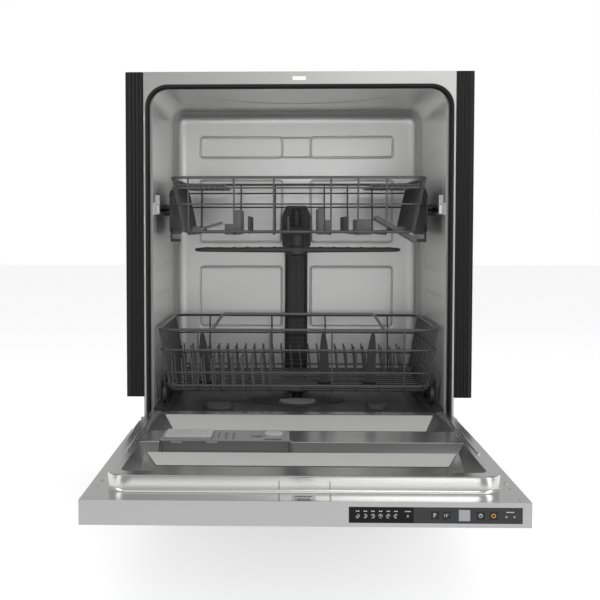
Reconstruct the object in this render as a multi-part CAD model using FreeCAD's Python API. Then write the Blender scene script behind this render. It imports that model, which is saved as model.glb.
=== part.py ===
import FreeCAD, Part
import math
import os

V = FreeCAD.Vector

# Built-in dishwasher with its door open and both racks in. Millimetres.
# X runs to the right, Y to the back and Z up. The origin is on the floor, under the
# middle of the machine with its door lying open.

# Overall sizes
BODY_HEIGHT = 815.0
BODY_DEPTH = 515.0
TUB_HALF = 268.0
PIVOT_Z = 178.0
DOOR_TOP_GAP = 3.0

# Sheet, frame and gasket
SHEET = 1.5
FRAME_TOP_BAND = 22.5
CEILING_DROP = 5.0
GROOVE_WIDTH = 11.0
GROOVE_DEPTH = 23.5
FRAME_LIP = 3.0
STRIP_WIDTH = 33.0
STRIP_THICK = 8.0
STRIP_START_Z = 224.0
CORNER_RADIUS = 30.0
GASKET_WALL = 6.0
GASKET_STAND = 2.0
REAR_SPACE = 35.0
FLOOR_Z = 190.0
LEDGE_Z = 200.0
LEDGE_WIDTH = 30.0
MAT_THICK = 5.0

# Base
TRAY_FRONT = 64.5
TRAY_BOTTOM = 40.0
TRAY_WALL = 3.0
FOOT_PAD_R = 20.0
FOOT_PAD_H = 8.0
FOOT_STEM_R = 4.0
FOOT_TRAVEL = 60.0
RUNNING_GAP = 0.05
DRAIN_X = 188.0
DRAIN_Z = 80.0
DRAIN_R = 9.5
INLET_X = -210.0
INLET_Z = 95.0
THREAD_R = 13.2
COLLAR = 2.0

# Door
DOOR_THICK = 33.5
DOOR_TOP_Z = 175.3
DOOR_OVERHANG = 16.0
DOOR_TAIL = 46.0
LINER_THICK = 3.0
LINER_RISE = 24.5
BLOCK_SIDE_GAP = 1.5
BLOCK_NEAR = 51.0
BLOCK_FAR = 15.0
BLOCK_CORNER = 40.0
SHELL = 2.5

# Control strip
STRIP_LEFT = 58.7
STRIP_RIGHT_GAP = 12.3
STRIP_HEIGHT = 21.4
STRIP_TOP_GAP = 6.6
STRIP_DEPTH = 14.0
BUTTON_SIZE = 9.4
BUTTON_DEPTH = 8.0
BUTTON_GAP = 0.3
BUTTON_TRAVEL = 1.2
DISPLAY_WIDTH = 15.0

# Detergent dispenser
DISPENSER_LEFT = -221.0
DISPENSER_RIGHT = -17.0
DISPENSER_NEAR = 318.0
DISPENSER_FAR = 215.0
DISPENSER_DEPTH = 49.0
LID_WIDTH = 72.0
LID_LENGTH = 78.0
LID_THICK = 3.0
LID_GAP = 0.3
CAP_R = 15.0

# Racks
RIM_WIRE = 2.6
WIRE = 1.8
LOWER_GAP = 6.0
LOWER_FRONT = 50.0
RACK_REAR_GAP = 38.0
LOWER_FLOOR_Z = 224.0
LOWER_RIM_Z = 343.0
LOWER_HANDLE_RISE = 30.0
LOWER_CHAMFER = 16.0
WHEEL_R = 18.0
WHEEL_WIDTH = 8.0
AXLE_R = 3.0
WHEEL_CLEARANCE = 0.3
TINE_PITCH = 19.0
TINE_HEIGHT = 56.0
UPPER_GAP = 32.0
UPPER_FRONT = 40.0
UPPER_FLOOR_DROP = 267.0
UPPER_RIM_DROP = 161.0
SHELF_REACH = 84.0
SHELF_LENGTH = 300.0
RAIL_DROP = 230.0
RAIL_HEIGHT = 20.0
RAIL_THICK = 5.0

# Spray system
ARM_HALF = 206.0
ARM_WIDTH = 34.0
ARM_THICK = 12.0
HUB_R = 20.0
POST_R = 9.0
DUCT_WIDTH = 49.0
DUCT_THICK = 22.0
DOCK_WIDTH = 62.0
SUMP_R = 105.0
SUMP_DEPTH = 70.0
FILTER_R = 36.0

# Hinges
PIN_R = 4.0
BRACKET_THICK = 3.0
ARM_CLEARANCE = 1.5
SLOT_RADIUS = 62.0

# Places that follow from the sizes
DOOR_LENGTH = BODY_HEIGHT - PIVOT_Z - DOOR_TOP_GAP
FLANGE_Y = (DOOR_LENGTH - BODY_DEPTH) / 2
REAR_Y = FLANGE_Y + BODY_DEPTH
DOOR_NEAR_Y = FLANGE_Y - DOOR_LENGTH
DOOR_FAR_Y = FLANGE_Y + DOOR_TAIL
OPENING_HALF = TUB_HALF + GROOVE_WIDTH
OPENING_TOP = BODY_HEIGHT - FRAME_TOP_BAND
TUB_TOP = OPENING_TOP - CEILING_DROP
FRAME_HALF = OPENING_HALF + FRAME_LIP
STRIP_HALF = FRAME_HALF + STRIP_WIDTH
TUB_FRONT_Y = FLANGE_Y + GROOVE_DEPTH + SHEET
TUB_BACK_Y = REAR_Y - REAR_SPACE
SPRAY_Y = (FLANGE_Y + GROOVE_DEPTH + TUB_BACK_Y - DUCT_THICK) / 2 - 6.0
TRAY_HALF = FRAME_HALF + 5.0
COVER_Y = TUB_FRONT_Y + 60.0
TRAY_FRONT_Y = FLANGE_Y + TRAY_FRONT
TRAY_BACK_Y = REAR_Y - REAR_SPACE + 5.0
DOOR_HALF = FRAME_HALF + DOOR_OVERHANG
DOOR_BOTTOM_Z = DOOR_TOP_Z - DOOR_THICK
BLOCK_HALF = OPENING_HALF - GASKET_WALL - BLOCK_SIDE_GAP
BLOCK_TOP_Z = DOOR_TOP_Z + LINER_RISE
BLOCK_NEAR_Y = DOOR_NEAR_Y + BLOCK_NEAR
BLOCK_FAR_Y = FLANGE_Y - BLOCK_FAR
STRIP_RIGHT = DOOR_HALF - STRIP_RIGHT_GAP
STRIP_TOP_Z = DOOR_TOP_Z - STRIP_TOP_GAP
STRIP_MIDDLE_Z = STRIP_TOP_Z - STRIP_HEIGHT / 2
BUTTON_XS = {"button_program": 171.6, "button_half_load": 186.4,
             "button_delay": 231.0, "button_power": 247.9}
DISPLAY_X = 210.0
LOWER_HALF = TUB_HALF - LOWER_GAP
LOWER_FRONT_Y = FLANGE_Y + LOWER_FRONT
LOWER_REAR_Y = TUB_BACK_Y - RACK_REAR_GAP
UPPER_HALF = TUB_HALF - UPPER_GAP
UPPER_FRONT_Y = FLANGE_Y + UPPER_FRONT
UPPER_REAR_Y = TUB_BACK_Y - RACK_REAR_GAP
UPPER_FLOOR_Z = TUB_TOP - UPPER_FLOOR_DROP
UPPER_RIM_Z = TUB_TOP - UPPER_RIM_DROP
UPPER_ARM_Z = UPPER_FLOOR_Z - 37.0
LOWER_ARM_Z = LOWER_FLOOR_Z - 17.0
RAIL_Z = TUB_TOP - RAIL_DROP
WHEEL_Z = LEDGE_Z + WHEEL_CLEARANCE + WHEEL_R
FEED_Z = UPPER_FLOOR_Z - 17.0


def box(x0, x1, y0, y1, z0, z1):
    return Part.makeBox(x1 - x0, y1 - y0, z1 - z0, V(x0, y0, z0))


def rod(start, end, radius):
    axis = V(*end) - V(*start)
    return Part.makeCylinder(radius, axis.Length, V(*start), axis)


def disc(x, y, z0, z1, radius):
    return Part.makeCylinder(radius, z1 - z0, V(x, y, z0))


def weld(shapes):
    return shapes[0].multiFuse(shapes[1:]).removeSplitter()


def round_corner(before, here, after, radius):
    """Entry point, arc and exit point of a corner turned with a radius."""
    back = (before - here).normalize()
    ahead = (after - here).normalize()
    half = back.getAngle(ahead) / 2
    middle = (back + ahead).normalize()
    entry = here + back * (radius / math.tan(half))
    leave = here + ahead * (radius / math.tan(half))
    crown = here + middle * (radius / math.sin(half) - radius)
    return entry, Part.Arc(entry, crown, leave).toShape(), leave


def path_edges(points, radii, closed):
    """Straight runs joined by arcs of the given radii, 0 for a sharp corner."""
    spots = [V(*point) for point in points]
    last = len(spots) - 1
    corners = []
    for index, here in enumerate(spots):
        is_end = not closed and index in (0, last)
        if is_end or radii[index] == 0:
            corners.append((here, None, here))
        else:
            after = spots[(index + 1) % len(spots)]
            corners.append(round_corner(spots[index - 1], here, after, radii[index]))
    edges = []
    for index, corner in enumerate(corners):
        if corner[1] is not None:
            edges.append(corner[1])
        if index < last or closed:
            goal = corners[(index + 1) % len(corners)][0]
            edges.append(Part.LineSegment(corner[2], goal).toShape())
    return edges


def prism(points, radii, travel):
    """Solid from a closed outline pushed along a vector."""
    outline = Part.Wire(path_edges(points, radii, True))
    return Part.Face(outline).extrude(V(*travel))


def bent_rod(points, radius, bend):
    """Round wire along straight runs with bent corners."""
    path = Part.Wire(path_edges(points, [bend] * len(points), False))
    start = V(*points[0])
    ring = Part.Wire([Part.makeCircle(radius, start, V(*points[1]) - start)])
    return path.makePipeShell([ring], True, False)


def arch(half, top, radius, y0, y1, bottom):
    """Upright block as wide as a tub opening, with its two upper corners round."""
    points = [(-half, y0, bottom), (-half, y0, top), (half, y0, top), (half, y0, bottom)]
    return prism(points, [0, radius, radius, 0], (0, y1 - y0, 0))


def mirrored(shape):
    return shape.mirror(V(0, 0, 0), V(1, 0, 0))


def both_sides(shape):
    return Part.makeCompound([shape, mirrored(shape)])


# Tub and frame

def tub_wrapper():
    outer = arch(TUB_HALF + SHEET, TUB_TOP + SHEET, CORNER_RADIUS + SHEET,
                 TUB_FRONT_Y, TUB_BACK_Y, FLOOR_Z)
    inner = arch(TUB_HALF, TUB_TOP, CORNER_RADIUS, TUB_FRONT_Y - 1, TUB_BACK_Y + 1,
                 FLOOR_Z - 1)
    return outer.cut(inner)


def tub_back():
    return arch(TUB_HALF + SHEET, TUB_TOP + SHEET, CORNER_RADIUS + SHEET,
                TUB_BACK_Y, TUB_BACK_Y + SHEET, FLOOR_Z)


def tub_floor():
    pan = box(-TUB_HALF, TUB_HALF, TUB_FRONT_Y, TUB_BACK_Y, FLOOR_Z, FLOOR_Z + 2)
    lip = box(-TUB_HALF, TUB_HALF, FLANGE_Y + FRAME_LIP, TUB_FRONT_Y, FLOOR_Z - 4, FLOOR_Z)
    riser = box(-TUB_HALF, TUB_HALF, TUB_FRONT_Y - 2, TUB_FRONT_Y, FLOOR_Z - 4, FLOOR_Z + 2)
    ledge = box(TUB_HALF - LEDGE_WIDTH, TUB_HALF, TUB_FRONT_Y, TUB_BACK_Y, FLOOR_Z, LEDGE_Z)
    hollow = box(TUB_HALF - LEDGE_WIDTH + 2, TUB_HALF - 2, TUB_FRONT_Y + 2, TUB_BACK_Y - 2,
                 FLOOR_Z - 1, LEDGE_Z - 2)
    pieces = [pan, lip, riser, ledge.cut(hollow), mirrored(ledge.cut(hollow))]
    floor = weld(pieces)
    well = disc(0, SPRAY_Y - 30, FLOOR_Z - 5, LEDGE_Z, SUMP_R - 10)
    floor = floor.cut(well)
    for x in (-150.0, 150.0):
        floor = floor.cut(disc(x, COVER_Y, FLOOR_Z - 1, FLOOR_Z + 3, 12))
    return floor


def front_flange():
    """Welded frame round the mouth: flat band, gasket groove and top return."""
    groove_half = OPENING_HALF + SHEET
    groove_top = OPENING_TOP + SHEET
    groove_radius = CORNER_RADIUS + GROOVE_WIDTH
    band = box(-FRAME_HALF, FRAME_HALF, FLANGE_Y, FLANGE_Y + SHEET, FLOOR_Z, BODY_HEIGHT)
    groove = arch(groove_half, groove_top, groove_radius + SHEET,
                  FLANGE_Y, TUB_FRONT_Y, FLOOR_Z)
    mouth = arch(OPENING_HALF, OPENING_TOP, groove_radius, FLANGE_Y - 1,
                 FLANGE_Y + GROOVE_DEPTH, FLOOR_Z - 1)
    throat = arch(TUB_HALF, TUB_TOP, CORNER_RADIUS, FLANGE_Y, TUB_FRONT_Y + 1, FLOOR_Z - 1)
    fold = box(-FRAME_HALF, FRAME_HALF, FLANGE_Y, FLANGE_Y + 30,
               BODY_HEIGHT - SHEET, BODY_HEIGHT)
    slot = box(-12, 12, FLANGE_Y - 1, FLANGE_Y + SHEET + 1, OPENING_TOP + 7, OPENING_TOP + 14)
    return weld([band, groove, fold]).cut(mouth).cut(throat).cut(slot)


def door_gasket():
    outer = arch(OPENING_HALF, OPENING_TOP, CORNER_RADIUS + GROOVE_WIDTH,
                 FLANGE_Y - GASKET_STAND, FLANGE_Y + GROOVE_DEPTH, FLOOR_Z)
    inner_half = OPENING_HALF - GASKET_WALL
    inner = arch(inner_half, OPENING_TOP - GASKET_WALL,
                 CORNER_RADIUS + GROOVE_WIDTH - GASKET_WALL,
                 FLANGE_Y - 5, FLANGE_Y + GROOVE_DEPTH + 1, FLOOR_Z - 1)
    return outer.cut(inner)


def side_strip():
    """Ribbed rubber strip that closes the gap to the cabinet beside the machine."""
    strip = box(FRAME_HALF, STRIP_HALF, FLANGE_Y, FLANGE_Y + STRIP_THICK,
                STRIP_START_Z, BODY_HEIGHT)
    for index in range(3):
        x = FRAME_HALF + 7 + index * 8
        strip = strip.cut(box(x, x + 3, FLANGE_Y - 1, FLANGE_Y + 3,
                              STRIP_START_Z - 1, BODY_HEIGHT + 1))
    return strip


def sound_jacket():
    wall = SHEET + MAT_THICK
    outer = arch(TUB_HALF + wall, TUB_TOP + wall, CORNER_RADIUS + MAT_THICK,
                 TUB_FRONT_Y + 1, TUB_BACK_Y + wall, FLOOR_Z)
    inner = arch(TUB_HALF + SHEET, TUB_TOP + SHEET, CORNER_RADIUS + SHEET,
                 TUB_FRONT_Y, TUB_BACK_Y + SHEET, FLOOR_Z - 1)
    return outer.cut(inner)


def worktop_brackets():
    y0 = FLANGE_Y + 30
    plate = box(FRAME_HALF - 67, FRAME_HALF - 27, y0, y0 + 40,
                BODY_HEIGHT - SHEET, BODY_HEIGHT)
    hole = disc(FRAME_HALF - 47, y0 + 20, BODY_HEIGHT - 5, BODY_HEIGHT + 1, 2.5)
    return both_sides(plate.cut(hole))


def hinge_brackets():
    inner_x = TRAY_HALF - TRAY_WALL - BRACKET_THICK
    outer_x = inner_x + BRACKET_THICK
    boss = rod((inner_x, FLANGE_Y, PIVOT_Z), (outer_x, FLANGE_Y, PIVOT_Z), PIN_R + 3)
    arm = box(inner_x, outer_x, FLANGE_Y, TRAY_FRONT_Y + 40, PIVOT_Z - 7, PIVOT_Z + 7)
    ear_y = FLANGE_Y + STRIP_THICK + 0.5
    ear = box(inner_x, outer_x, ear_y, ear_y + 50, PIVOT_Z, PIVOT_Z + 60)
    pin = rod((inner_x, FLANGE_Y, PIVOT_Z), (outer_x + 6, FLANGE_Y, PIVOT_Z), PIN_R)
    return both_sides(weld([boss, arm, ear, pin]))


# Base and water parts

def base_tray():
    z1 = FLOOR_Z
    outer = box(-TRAY_HALF, TRAY_HALF, TRAY_FRONT_Y, REAR_Y, TRAY_BOTTOM, z1)
    bay = box(-TRAY_HALF + TRAY_WALL, TRAY_HALF - TRAY_WALL, TRAY_FRONT_Y + TRAY_WALL,
              TRAY_BACK_Y - TRAY_WALL, TRAY_BOTTOM + TRAY_WALL, z1 + 1)
    recess = box(-TRAY_HALF + TRAY_WALL, TRAY_HALF - TRAY_WALL, TRAY_BACK_Y, REAR_Y + 1,
                 TRAY_BOTTOM + TRAY_WALL, z1 + 1)
    tray = outer.cut(bay).cut(recess)
    bracket_x = TRAY_HALF - TRAY_WALL - BRACKET_THICK
    slot = box(bracket_x, TRAY_HALF - TRAY_WALL, TRAY_FRONT_Y - 1, TRAY_FRONT_Y + TRAY_WALL + 1,
               PIVOT_Z - 7, z1 + 1)
    drain_hole = rod((DRAIN_X, TRAY_BACK_Y - 10, DRAIN_Z), (DRAIN_X, TRAY_BACK_Y + 1, DRAIN_Z),
                     DRAIN_R + COLLAR + 0.5)
    inlet_hole = rod((INLET_X, TRAY_BACK_Y - 10, INLET_Z), (INLET_X, TRAY_BACK_Y + 1, INLET_Z),
                     THREAD_R + COLLAR + 0.5)
    tray = tray.cut(slot).cut(mirrored(slot)).cut(drain_hole).cut(inlet_hole)
    for x, y in foot_places():
        boss = disc(x, y, TRAY_BOTTOM, TRAY_BOTTOM + 32, FOOT_STEM_R + 4)
        bore = disc(x, y, TRAY_BOTTOM - 1, TRAY_BOTTOM + 33, FOOT_STEM_R + RUNNING_GAP)
        tray = tray.fuse(boss).cut(bore)
    return tray.removeSplitter()


def foot_places():
    xs = (-TRAY_HALF + 32, TRAY_HALF - 32)
    ys = (TRAY_FRONT_Y + 26, TRAY_BACK_Y - 30)
    return [(x, y) for y in ys for x in xs]


def foot(x, y):
    pad = disc(x, y, 0, FOOT_PAD_H, FOOT_PAD_R)
    nut = prism([(x + 9 * math.cos(k * math.pi / 3), y + 9 * math.sin(k * math.pi / 3),
                  FOOT_PAD_H) for k in range(6)], [0] * 6, (0, 0, 7))
    stem = disc(x, y, 0, TRAY_BOTTOM + 32 + FOOT_TRAVEL, FOOT_STEM_R)
    return weld([pad, nut, stem])


def door_springs():
    """Closed-coil door springs, drawn as the sleeve that the coils fill."""
    x = TRAY_HALF - 16
    y0 = TRAY_FRONT_Y + 60
    coil = rod((x, y0, 70), (x, y0 + 190, 70), 8).cut(
        rod((x, y0 + 2, 70), (x, y0 + 188, 70), 5))
    hook = rod((x, y0 - 20, 70), (x, y0 + 2.5, 70), 2)
    tail = rod((x, y0 + 187.5, 70), (x, y0 + 205, 70), 2)
    return both_sides(weld([coil, hook, tail]))


def sump():
    y = SPRAY_Y - 30
    top = FLOOR_Z
    bowl = disc(0, y, top - SUMP_DEPTH, top, SUMP_R)
    bowl = bowl.cut(disc(0, y, top - SUMP_DEPTH + 3, top + 1, SUMP_R - 10))
    post = disc(0, SPRAY_Y, top - SUMP_DEPTH + 1, LOWER_ARM_Z - 8, POST_R)
    pin = disc(0, SPRAY_Y, LOWER_ARM_Z - 9, LOWER_ARM_Z + 2, PIN_R)
    return weld([bowl, post, pin])


def filter_plate():
    y = SPRAY_Y - 30
    plate = disc(0, y, FLOOR_Z, FLOOR_Z + 3, SUMP_R - 10.5)
    plate = plate.cut(disc(0, SPRAY_Y, FLOOR_Z - 1, FLOOR_Z + 4, POST_R + 0.5))
    plate = plate.cut(disc(0, y - 42, FLOOR_Z - 1, FLOOR_Z + 4, FILTER_R + 0.5))
    for ring in (78.0, 66.0):
        for step in range(14):
            turn = math.radians(-50 + step * 20)
            if abs(math.sin(turn) + 1) > 0.05:
                hole = disc(ring * math.cos(turn), y + ring * math.sin(turn),
                            FLOOR_Z - 1, FLOOR_Z + 4, 2.2)
                plate = plate.cut(hole)
    return plate


def coarse_filter():
    y = SPRAY_Y - 72
    cup = disc(0, y, FLOOR_Z - 50, FLOOR_Z + 5, FILTER_R)
    cup = cup.cut(disc(0, y, FLOOR_Z - 48, FLOOR_Z + 6, FILTER_R - 3))
    grip = box(-FILTER_R + 2, FILTER_R - 2, y - 2, y + 2, FLOOR_Z - 30, FLOOR_Z + 8)
    return weld([cup, grip])


def circulation_pump():
    y = SPRAY_Y + 125
    motor = rod((-70, y, 92), (70, y, 92), 38)
    volute = rod((70, y, 92), (100, y, 92), 46)
    inlet = rod((100, y, 92), (128, y, 92), 18)
    outlet = rod((85, y, 92), (85, y, 150), 14)
    return weld([motor, volute, inlet, outlet])


def drain_pump():
    y = SPRAY_Y + 130
    body = rod((DRAIN_X - 28, y, DRAIN_Z), (DRAIN_X + 27, y, DRAIN_Z), 24)
    pipe = rod((DRAIN_X, y, DRAIN_Z), (DRAIN_X, TRAY_BACK_Y + 1, DRAIN_Z), DRAIN_R + COLLAR)
    spigot = rod((DRAIN_X, TRAY_BACK_Y, DRAIN_Z), (DRAIN_X, REAR_Y - 6, DRAIN_Z), DRAIN_R)
    bore = rod((DRAIN_X, y + 30, DRAIN_Z), (DRAIN_X, REAR_Y - 5, DRAIN_Z), DRAIN_R - 2.5)
    return weld([body, pipe, spigot]).cut(bore)


def water_softener():
    x0 = -TRAY_HALF + 32
    tank = box(x0, x0 + 125, TRAY_FRONT_Y + 60, TRAY_FRONT_Y + 250, 60, FLOOR_Z - 12)
    neck = disc(-150, COVER_Y, FLOOR_Z - 60, FLOOR_Z + 2, 11.7)
    shelf = box(-165, -135, COVER_Y - 10, TRAY_FRONT_Y + 61, FLOOR_Z - 60, FLOOR_Z - 40)
    bore = disc(-150, COVER_Y, FLOOR_Z - 30, FLOOR_Z + 3, 9)
    return weld([tank, neck, shelf]).cut(bore)


def salt_cap():
    y = COVER_Y
    plug = disc(-150, y, FLOOR_Z - 10, FLOOR_Z + 3, 8.9)
    lid = disc(-150, y, FLOOR_Z + 2.3, FLOOR_Z + 9, 28)
    grip = box(-172, -128, y - 3, y + 3, FLOOR_Z + 8, FLOOR_Z + 13)
    return weld([plug, lid, grip])


def float_dome():
    y = COVER_Y
    stem = disc(150, y, FLOOR_Z - 40, FLOOR_Z + 9, 4)
    dome = disc(150, y, FLOOR_Z + 2.3, FLOOR_Z + 11, 20)
    dome = dome.cut(disc(150, y, FLOOR_Z + 2, FLOOR_Z + 8, 17))
    return weld([stem, dome])


def inlet_valve():
    y = TRAY_BACK_Y
    body = box(INLET_X - 25, INLET_X + 25, y - TRAY_WALL - 36, y - TRAY_WALL,
               INLET_Z - 25, INLET_Z + 25)
    collar = rod((INLET_X, y - TRAY_WALL - 1, INLET_Z), (INLET_X, y + 1, INLET_Z),
                 THREAD_R + COLLAR)
    thread = rod((INLET_X, y, INLET_Z), (INLET_X, REAR_Y - 4, INLET_Z), THREAD_R)
    bore = rod((INLET_X, y - 10, INLET_Z), (INLET_X, REAR_Y, INLET_Z), THREAD_R - 5)
    return weld([body, collar, thread]).cut(bore)


def terminal_box():
    y = TRAY_BACK_Y
    body = box(-120, -50, y, y + 24, 70, 130)
    body = body.cut(box(-117, -53, y - 1, y + 21, 73, 127))
    return body.cut(rod((-85, y + 20, 85), (-85, y + 30, 85), 5))


def riser_duct():
    y1 = TUB_BACK_Y
    y0 = y1 - DUCT_THICK
    half = DUCT_WIDTH / 2
    dock_half = DOCK_WIDTH / 2
    duct = box(-half, half, y0, y1, FLOOR_Z + 10, FEED_Z + 8)
    dock = box(-dock_half, dock_half, y0 - 8, y1, FEED_Z - 10, FEED_Z + 78)
    duct = weld([duct, dock])
    shell = 3.0
    duct = duct.cut(box(-half + shell, half - shell, y0 + shell, y1 - shell,
                        FLOOR_Z + 5, FEED_Z + 70))
    return duct.cut(rod((0, y0 - 9, FEED_Z), (0, y0 + shell + 1, FEED_Z), 9))


def spray_arm(y, z, hub_bore):
    """Flat hollow-looking arm with tapering wings, a hub and its rows of nozzles."""
    half = ARM_WIDTH / 2
    outline = [(-ARM_HALF, y - 9, z), (-40, y - half, z), (40, y - half, z),
               (ARM_HALF, y - 9, z), (ARM_HALF, y + 9, z), (40, y + half, z),
               (-40, y + half, z), (-ARM_HALF, y + 9, z)]
    radii = [8, 30, 30, 8, 8, 30, 30, 8]
    blade = prism(outline, radii, (0, 0, ARM_THICK))
    hub = disc(0, y, z - 6, z + ARM_THICK + 2, HUB_R)
    arm = weld([blade, hub])
    for side in (-1, 1):
        for step in range(5):
            x = side * (50 + step * 34)
            arm = arm.cut(disc(x, y, z + ARM_THICK - 2, z + ARM_THICK + 1, 2))
    return arm.cut(hub_bore)


def lower_spray_arm():
    bore = disc(0, SPRAY_Y, LOWER_ARM_Z - 10, LOWER_ARM_Z + 6, PIN_R + RUNNING_GAP)
    return spray_arm(SPRAY_Y, LOWER_ARM_Z, bore)


def upper_spray_arm():
    bore = disc(0, SPRAY_Y, UPPER_ARM_Z - 8, UPPER_ARM_Z + 20, PIN_R + RUNNING_GAP)
    return spray_arm(SPRAY_Y, UPPER_ARM_Z, bore)


def upper_feed_pipe():
    """Pipe under the upper rack from the dock to the spray arm's pivot."""
    y1 = TUB_BACK_Y - DUCT_THICK - 8.4
    run = rod((0, SPRAY_Y, FEED_Z), (0, y1 - 8, FEED_Z), 6)
    nose = Part.makeCone(6, 8.5, 8, V(0, y1 - 8, FEED_Z), V(0, 1, 0))
    collar = disc(0, SPRAY_Y, FEED_Z - 5.7, UPPER_FLOOR_Z - WIRE, 14)
    pin = disc(0, SPRAY_Y, UPPER_ARM_Z - 4, FEED_Z, PIN_R)
    tip = disc(0, SPRAY_Y, UPPER_ARM_Z - 9, UPPER_ARM_Z - 6.3, PIN_R + 6)
    neck = disc(0, SPRAY_Y, UPPER_ARM_Z - 7, UPPER_ARM_Z, PIN_R)
    return weld([run, nose, collar, pin, neck, tip])


# Upper rack and its rails

def rail_holders():
    x1 = TUB_HALF
    x0 = x1 - RAIL_THICK
    rail = box(x0, x1, TUB_FRONT_Y + 2, TUB_BACK_Y - 14, RAIL_Z, RAIL_Z + RAIL_HEIGHT + 2)
    stop = box(x0 - 7, x0 + 1, TUB_FRONT_Y + 2, TUB_FRONT_Y + 5,
               RAIL_Z + RAIL_HEIGHT - 1, RAIL_Z + RAIL_HEIGHT + 16)
    return both_sides(weld([rail, stop]))


def rail_slides():
    x1 = TUB_HALF - RAIL_THICK - 0.3
    x0 = x1 - 6
    y0 = TUB_FRONT_Y + 6
    y1 = TUB_BACK_Y - 20
    slide = box(x0, x1, y0, y1, RAIL_Z + 2, RAIL_Z + RAIL_HEIGHT - 2)
    groove = box(x0 - 1, x0 + 3, y0 + 4, y1 - 4, RAIL_Z + 6, RAIL_Z + RAIL_HEIGHT - 6)
    return both_sides(slide.cut(groove))


def height_brackets():
    """Plates that run on the rails and carry the upper rack at one of its heights."""
    x1 = TUB_HALF - RAIL_THICK - 6.6
    plate_x = UPPER_HALF + RIM_WIRE + 2.4
    y0 = UPPER_FRONT_Y + 55
    y1 = UPPER_REAR_Y - 55
    plate = box(plate_x, plate_x + 3, y0, y1, UPPER_FLOOR_Z - 2, UPPER_RIM_Z - 20)
    runner = box(plate_x + 2, x1, y0, y1, RAIL_Z + 5, RAIL_Z + RAIL_HEIGHT - 5)
    shelf = box(plate_x - 14, plate_x + 1, y0 + 20, y0 + 40, UPPER_FLOOR_Z - 14, UPPER_FLOOR_Z - 8)
    post = box(plate_x, plate_x + 3, y0 + 20, y0 + 40, UPPER_FLOOR_Z - 14, UPPER_FLOOR_Z)
    return both_sides(weld([plate, runner, shelf, post]))


def even_steps(start, end, count):
    return [start + (end - start) * k / (count - 1) for k in range(count)]


def rack_floor(half, y0, y1, z, long_count, cross_count):
    """Flat mat: long wires on top of cross wires, welded where they meet."""
    wires = []
    for x in even_steps(-half, half, long_count):
        wires.append(rod((x, y0, z), (x, y1, z), WIRE))
    for y in even_steps(y0 + 14, y1 - 14, cross_count):
        low = z - 1.5 * WIRE
        wires.append(rod((-half - WIRE, y, low), (half + WIRE, y, low), WIRE))
    return weld(wires)


def side_wall(x, y0, y1, z0, z1, count):
    """One upright side: rim, middle rail, foot rail and its uprights."""
    wires = [rod((x, y0, z1), (x, y1, z1), RIM_WIRE)]
    inside = x - 1.5 * WIRE if x > 0 else x + 1.5 * WIRE
    for z in (z0, z0 + (z1 - z0) * 0.38):
        wires.append(rod((x, y0, z), (x, y1, z), WIRE))
    for y in even_steps(y0 + 6, y1 - 6, count):
        wires.append(rod((inside, y, z0 - WIRE), (inside, y, z1), WIRE))
    return weld(wires)


def end_wall(y, half, z0, z1, count, inward):
    """The front or back of a basket, with the uprights on its inner face."""
    wires = [rod((-half, y, z1), (half, y, z1), RIM_WIRE)]
    inside = y + inward * 1.5 * WIRE
    for z in (z0, z0 + (z1 - z0) * 0.38):
        wires.append(rod((-half, y, z), (half, y, z), WIRE))
    for x in even_steps(-half + 20, half - 20, count):
        wires.append(rod((x, inside, z0 - WIRE), (x, inside, z1), WIRE))
    return weld(wires)


def upper_rack_floor():
    return rack_floor(UPPER_HALF - 14, UPPER_FRONT_Y + 8, UPPER_REAR_Y - 8,
                      UPPER_FLOOR_Z + WIRE, 11, 4)


def upper_rack_walls():
    z0 = UPPER_FLOOR_Z + 4 * WIRE
    y0 = UPPER_FRONT_Y + RIM_WIRE
    y1 = UPPER_REAR_Y - RIM_WIRE
    side_y0 = y0 + RIM_WIRE + 0.4
    side_y1 = y1 - RIM_WIRE - 0.4
    walls = [side_wall(x, side_y0, side_y1, z0, UPPER_RIM_Z, 6)
             for x in (-UPPER_HALF, UPPER_HALF)]
    walls.append(end_wall(y0, UPPER_HALF, z0, UPPER_RIM_Z, 6, 1))
    walls.append(end_wall(y1, UPPER_HALF, z0, UPPER_RIM_Z, 6, -1))
    return Part.makeCompound(walls)


def cup_shelf(side):
    """Folding shelf of wire hung along one side of the upper rack."""
    x0 = side * (UPPER_HALF - RIM_WIRE - WIRE - 6)
    x1 = x0 - side * SHELF_REACH
    z = UPPER_RIM_Z - 12
    y0 = UPPER_FRONT_Y + 60
    y1 = y0 + SHELF_LENGTH
    frame = bent_rod([(x0, y0, z), (x1, y0, z), (x1, y1, z), (x0, y1, z)], RIM_WIRE, 10)
    bars = [frame, rod((x0, y0 - 8, z), (x0, y1 + 8, z), RIM_WIRE + 0.2)]
    for y in even_steps(y0 + 30, y1 - 30, 8):
        bars.append(rod((x0, y, z), (x1, y, z), WIRE))
    return weld(bars)


# Lower rack

def lower_rack_floor():
    half = LOWER_HALF - LOWER_CHAMFER - 6
    mat = rack_floor(half, LOWER_FRONT_Y + 8, LOWER_REAR_Y - 8, LOWER_FLOOR_Z + WIRE, 13, 4)
    return mat


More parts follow.
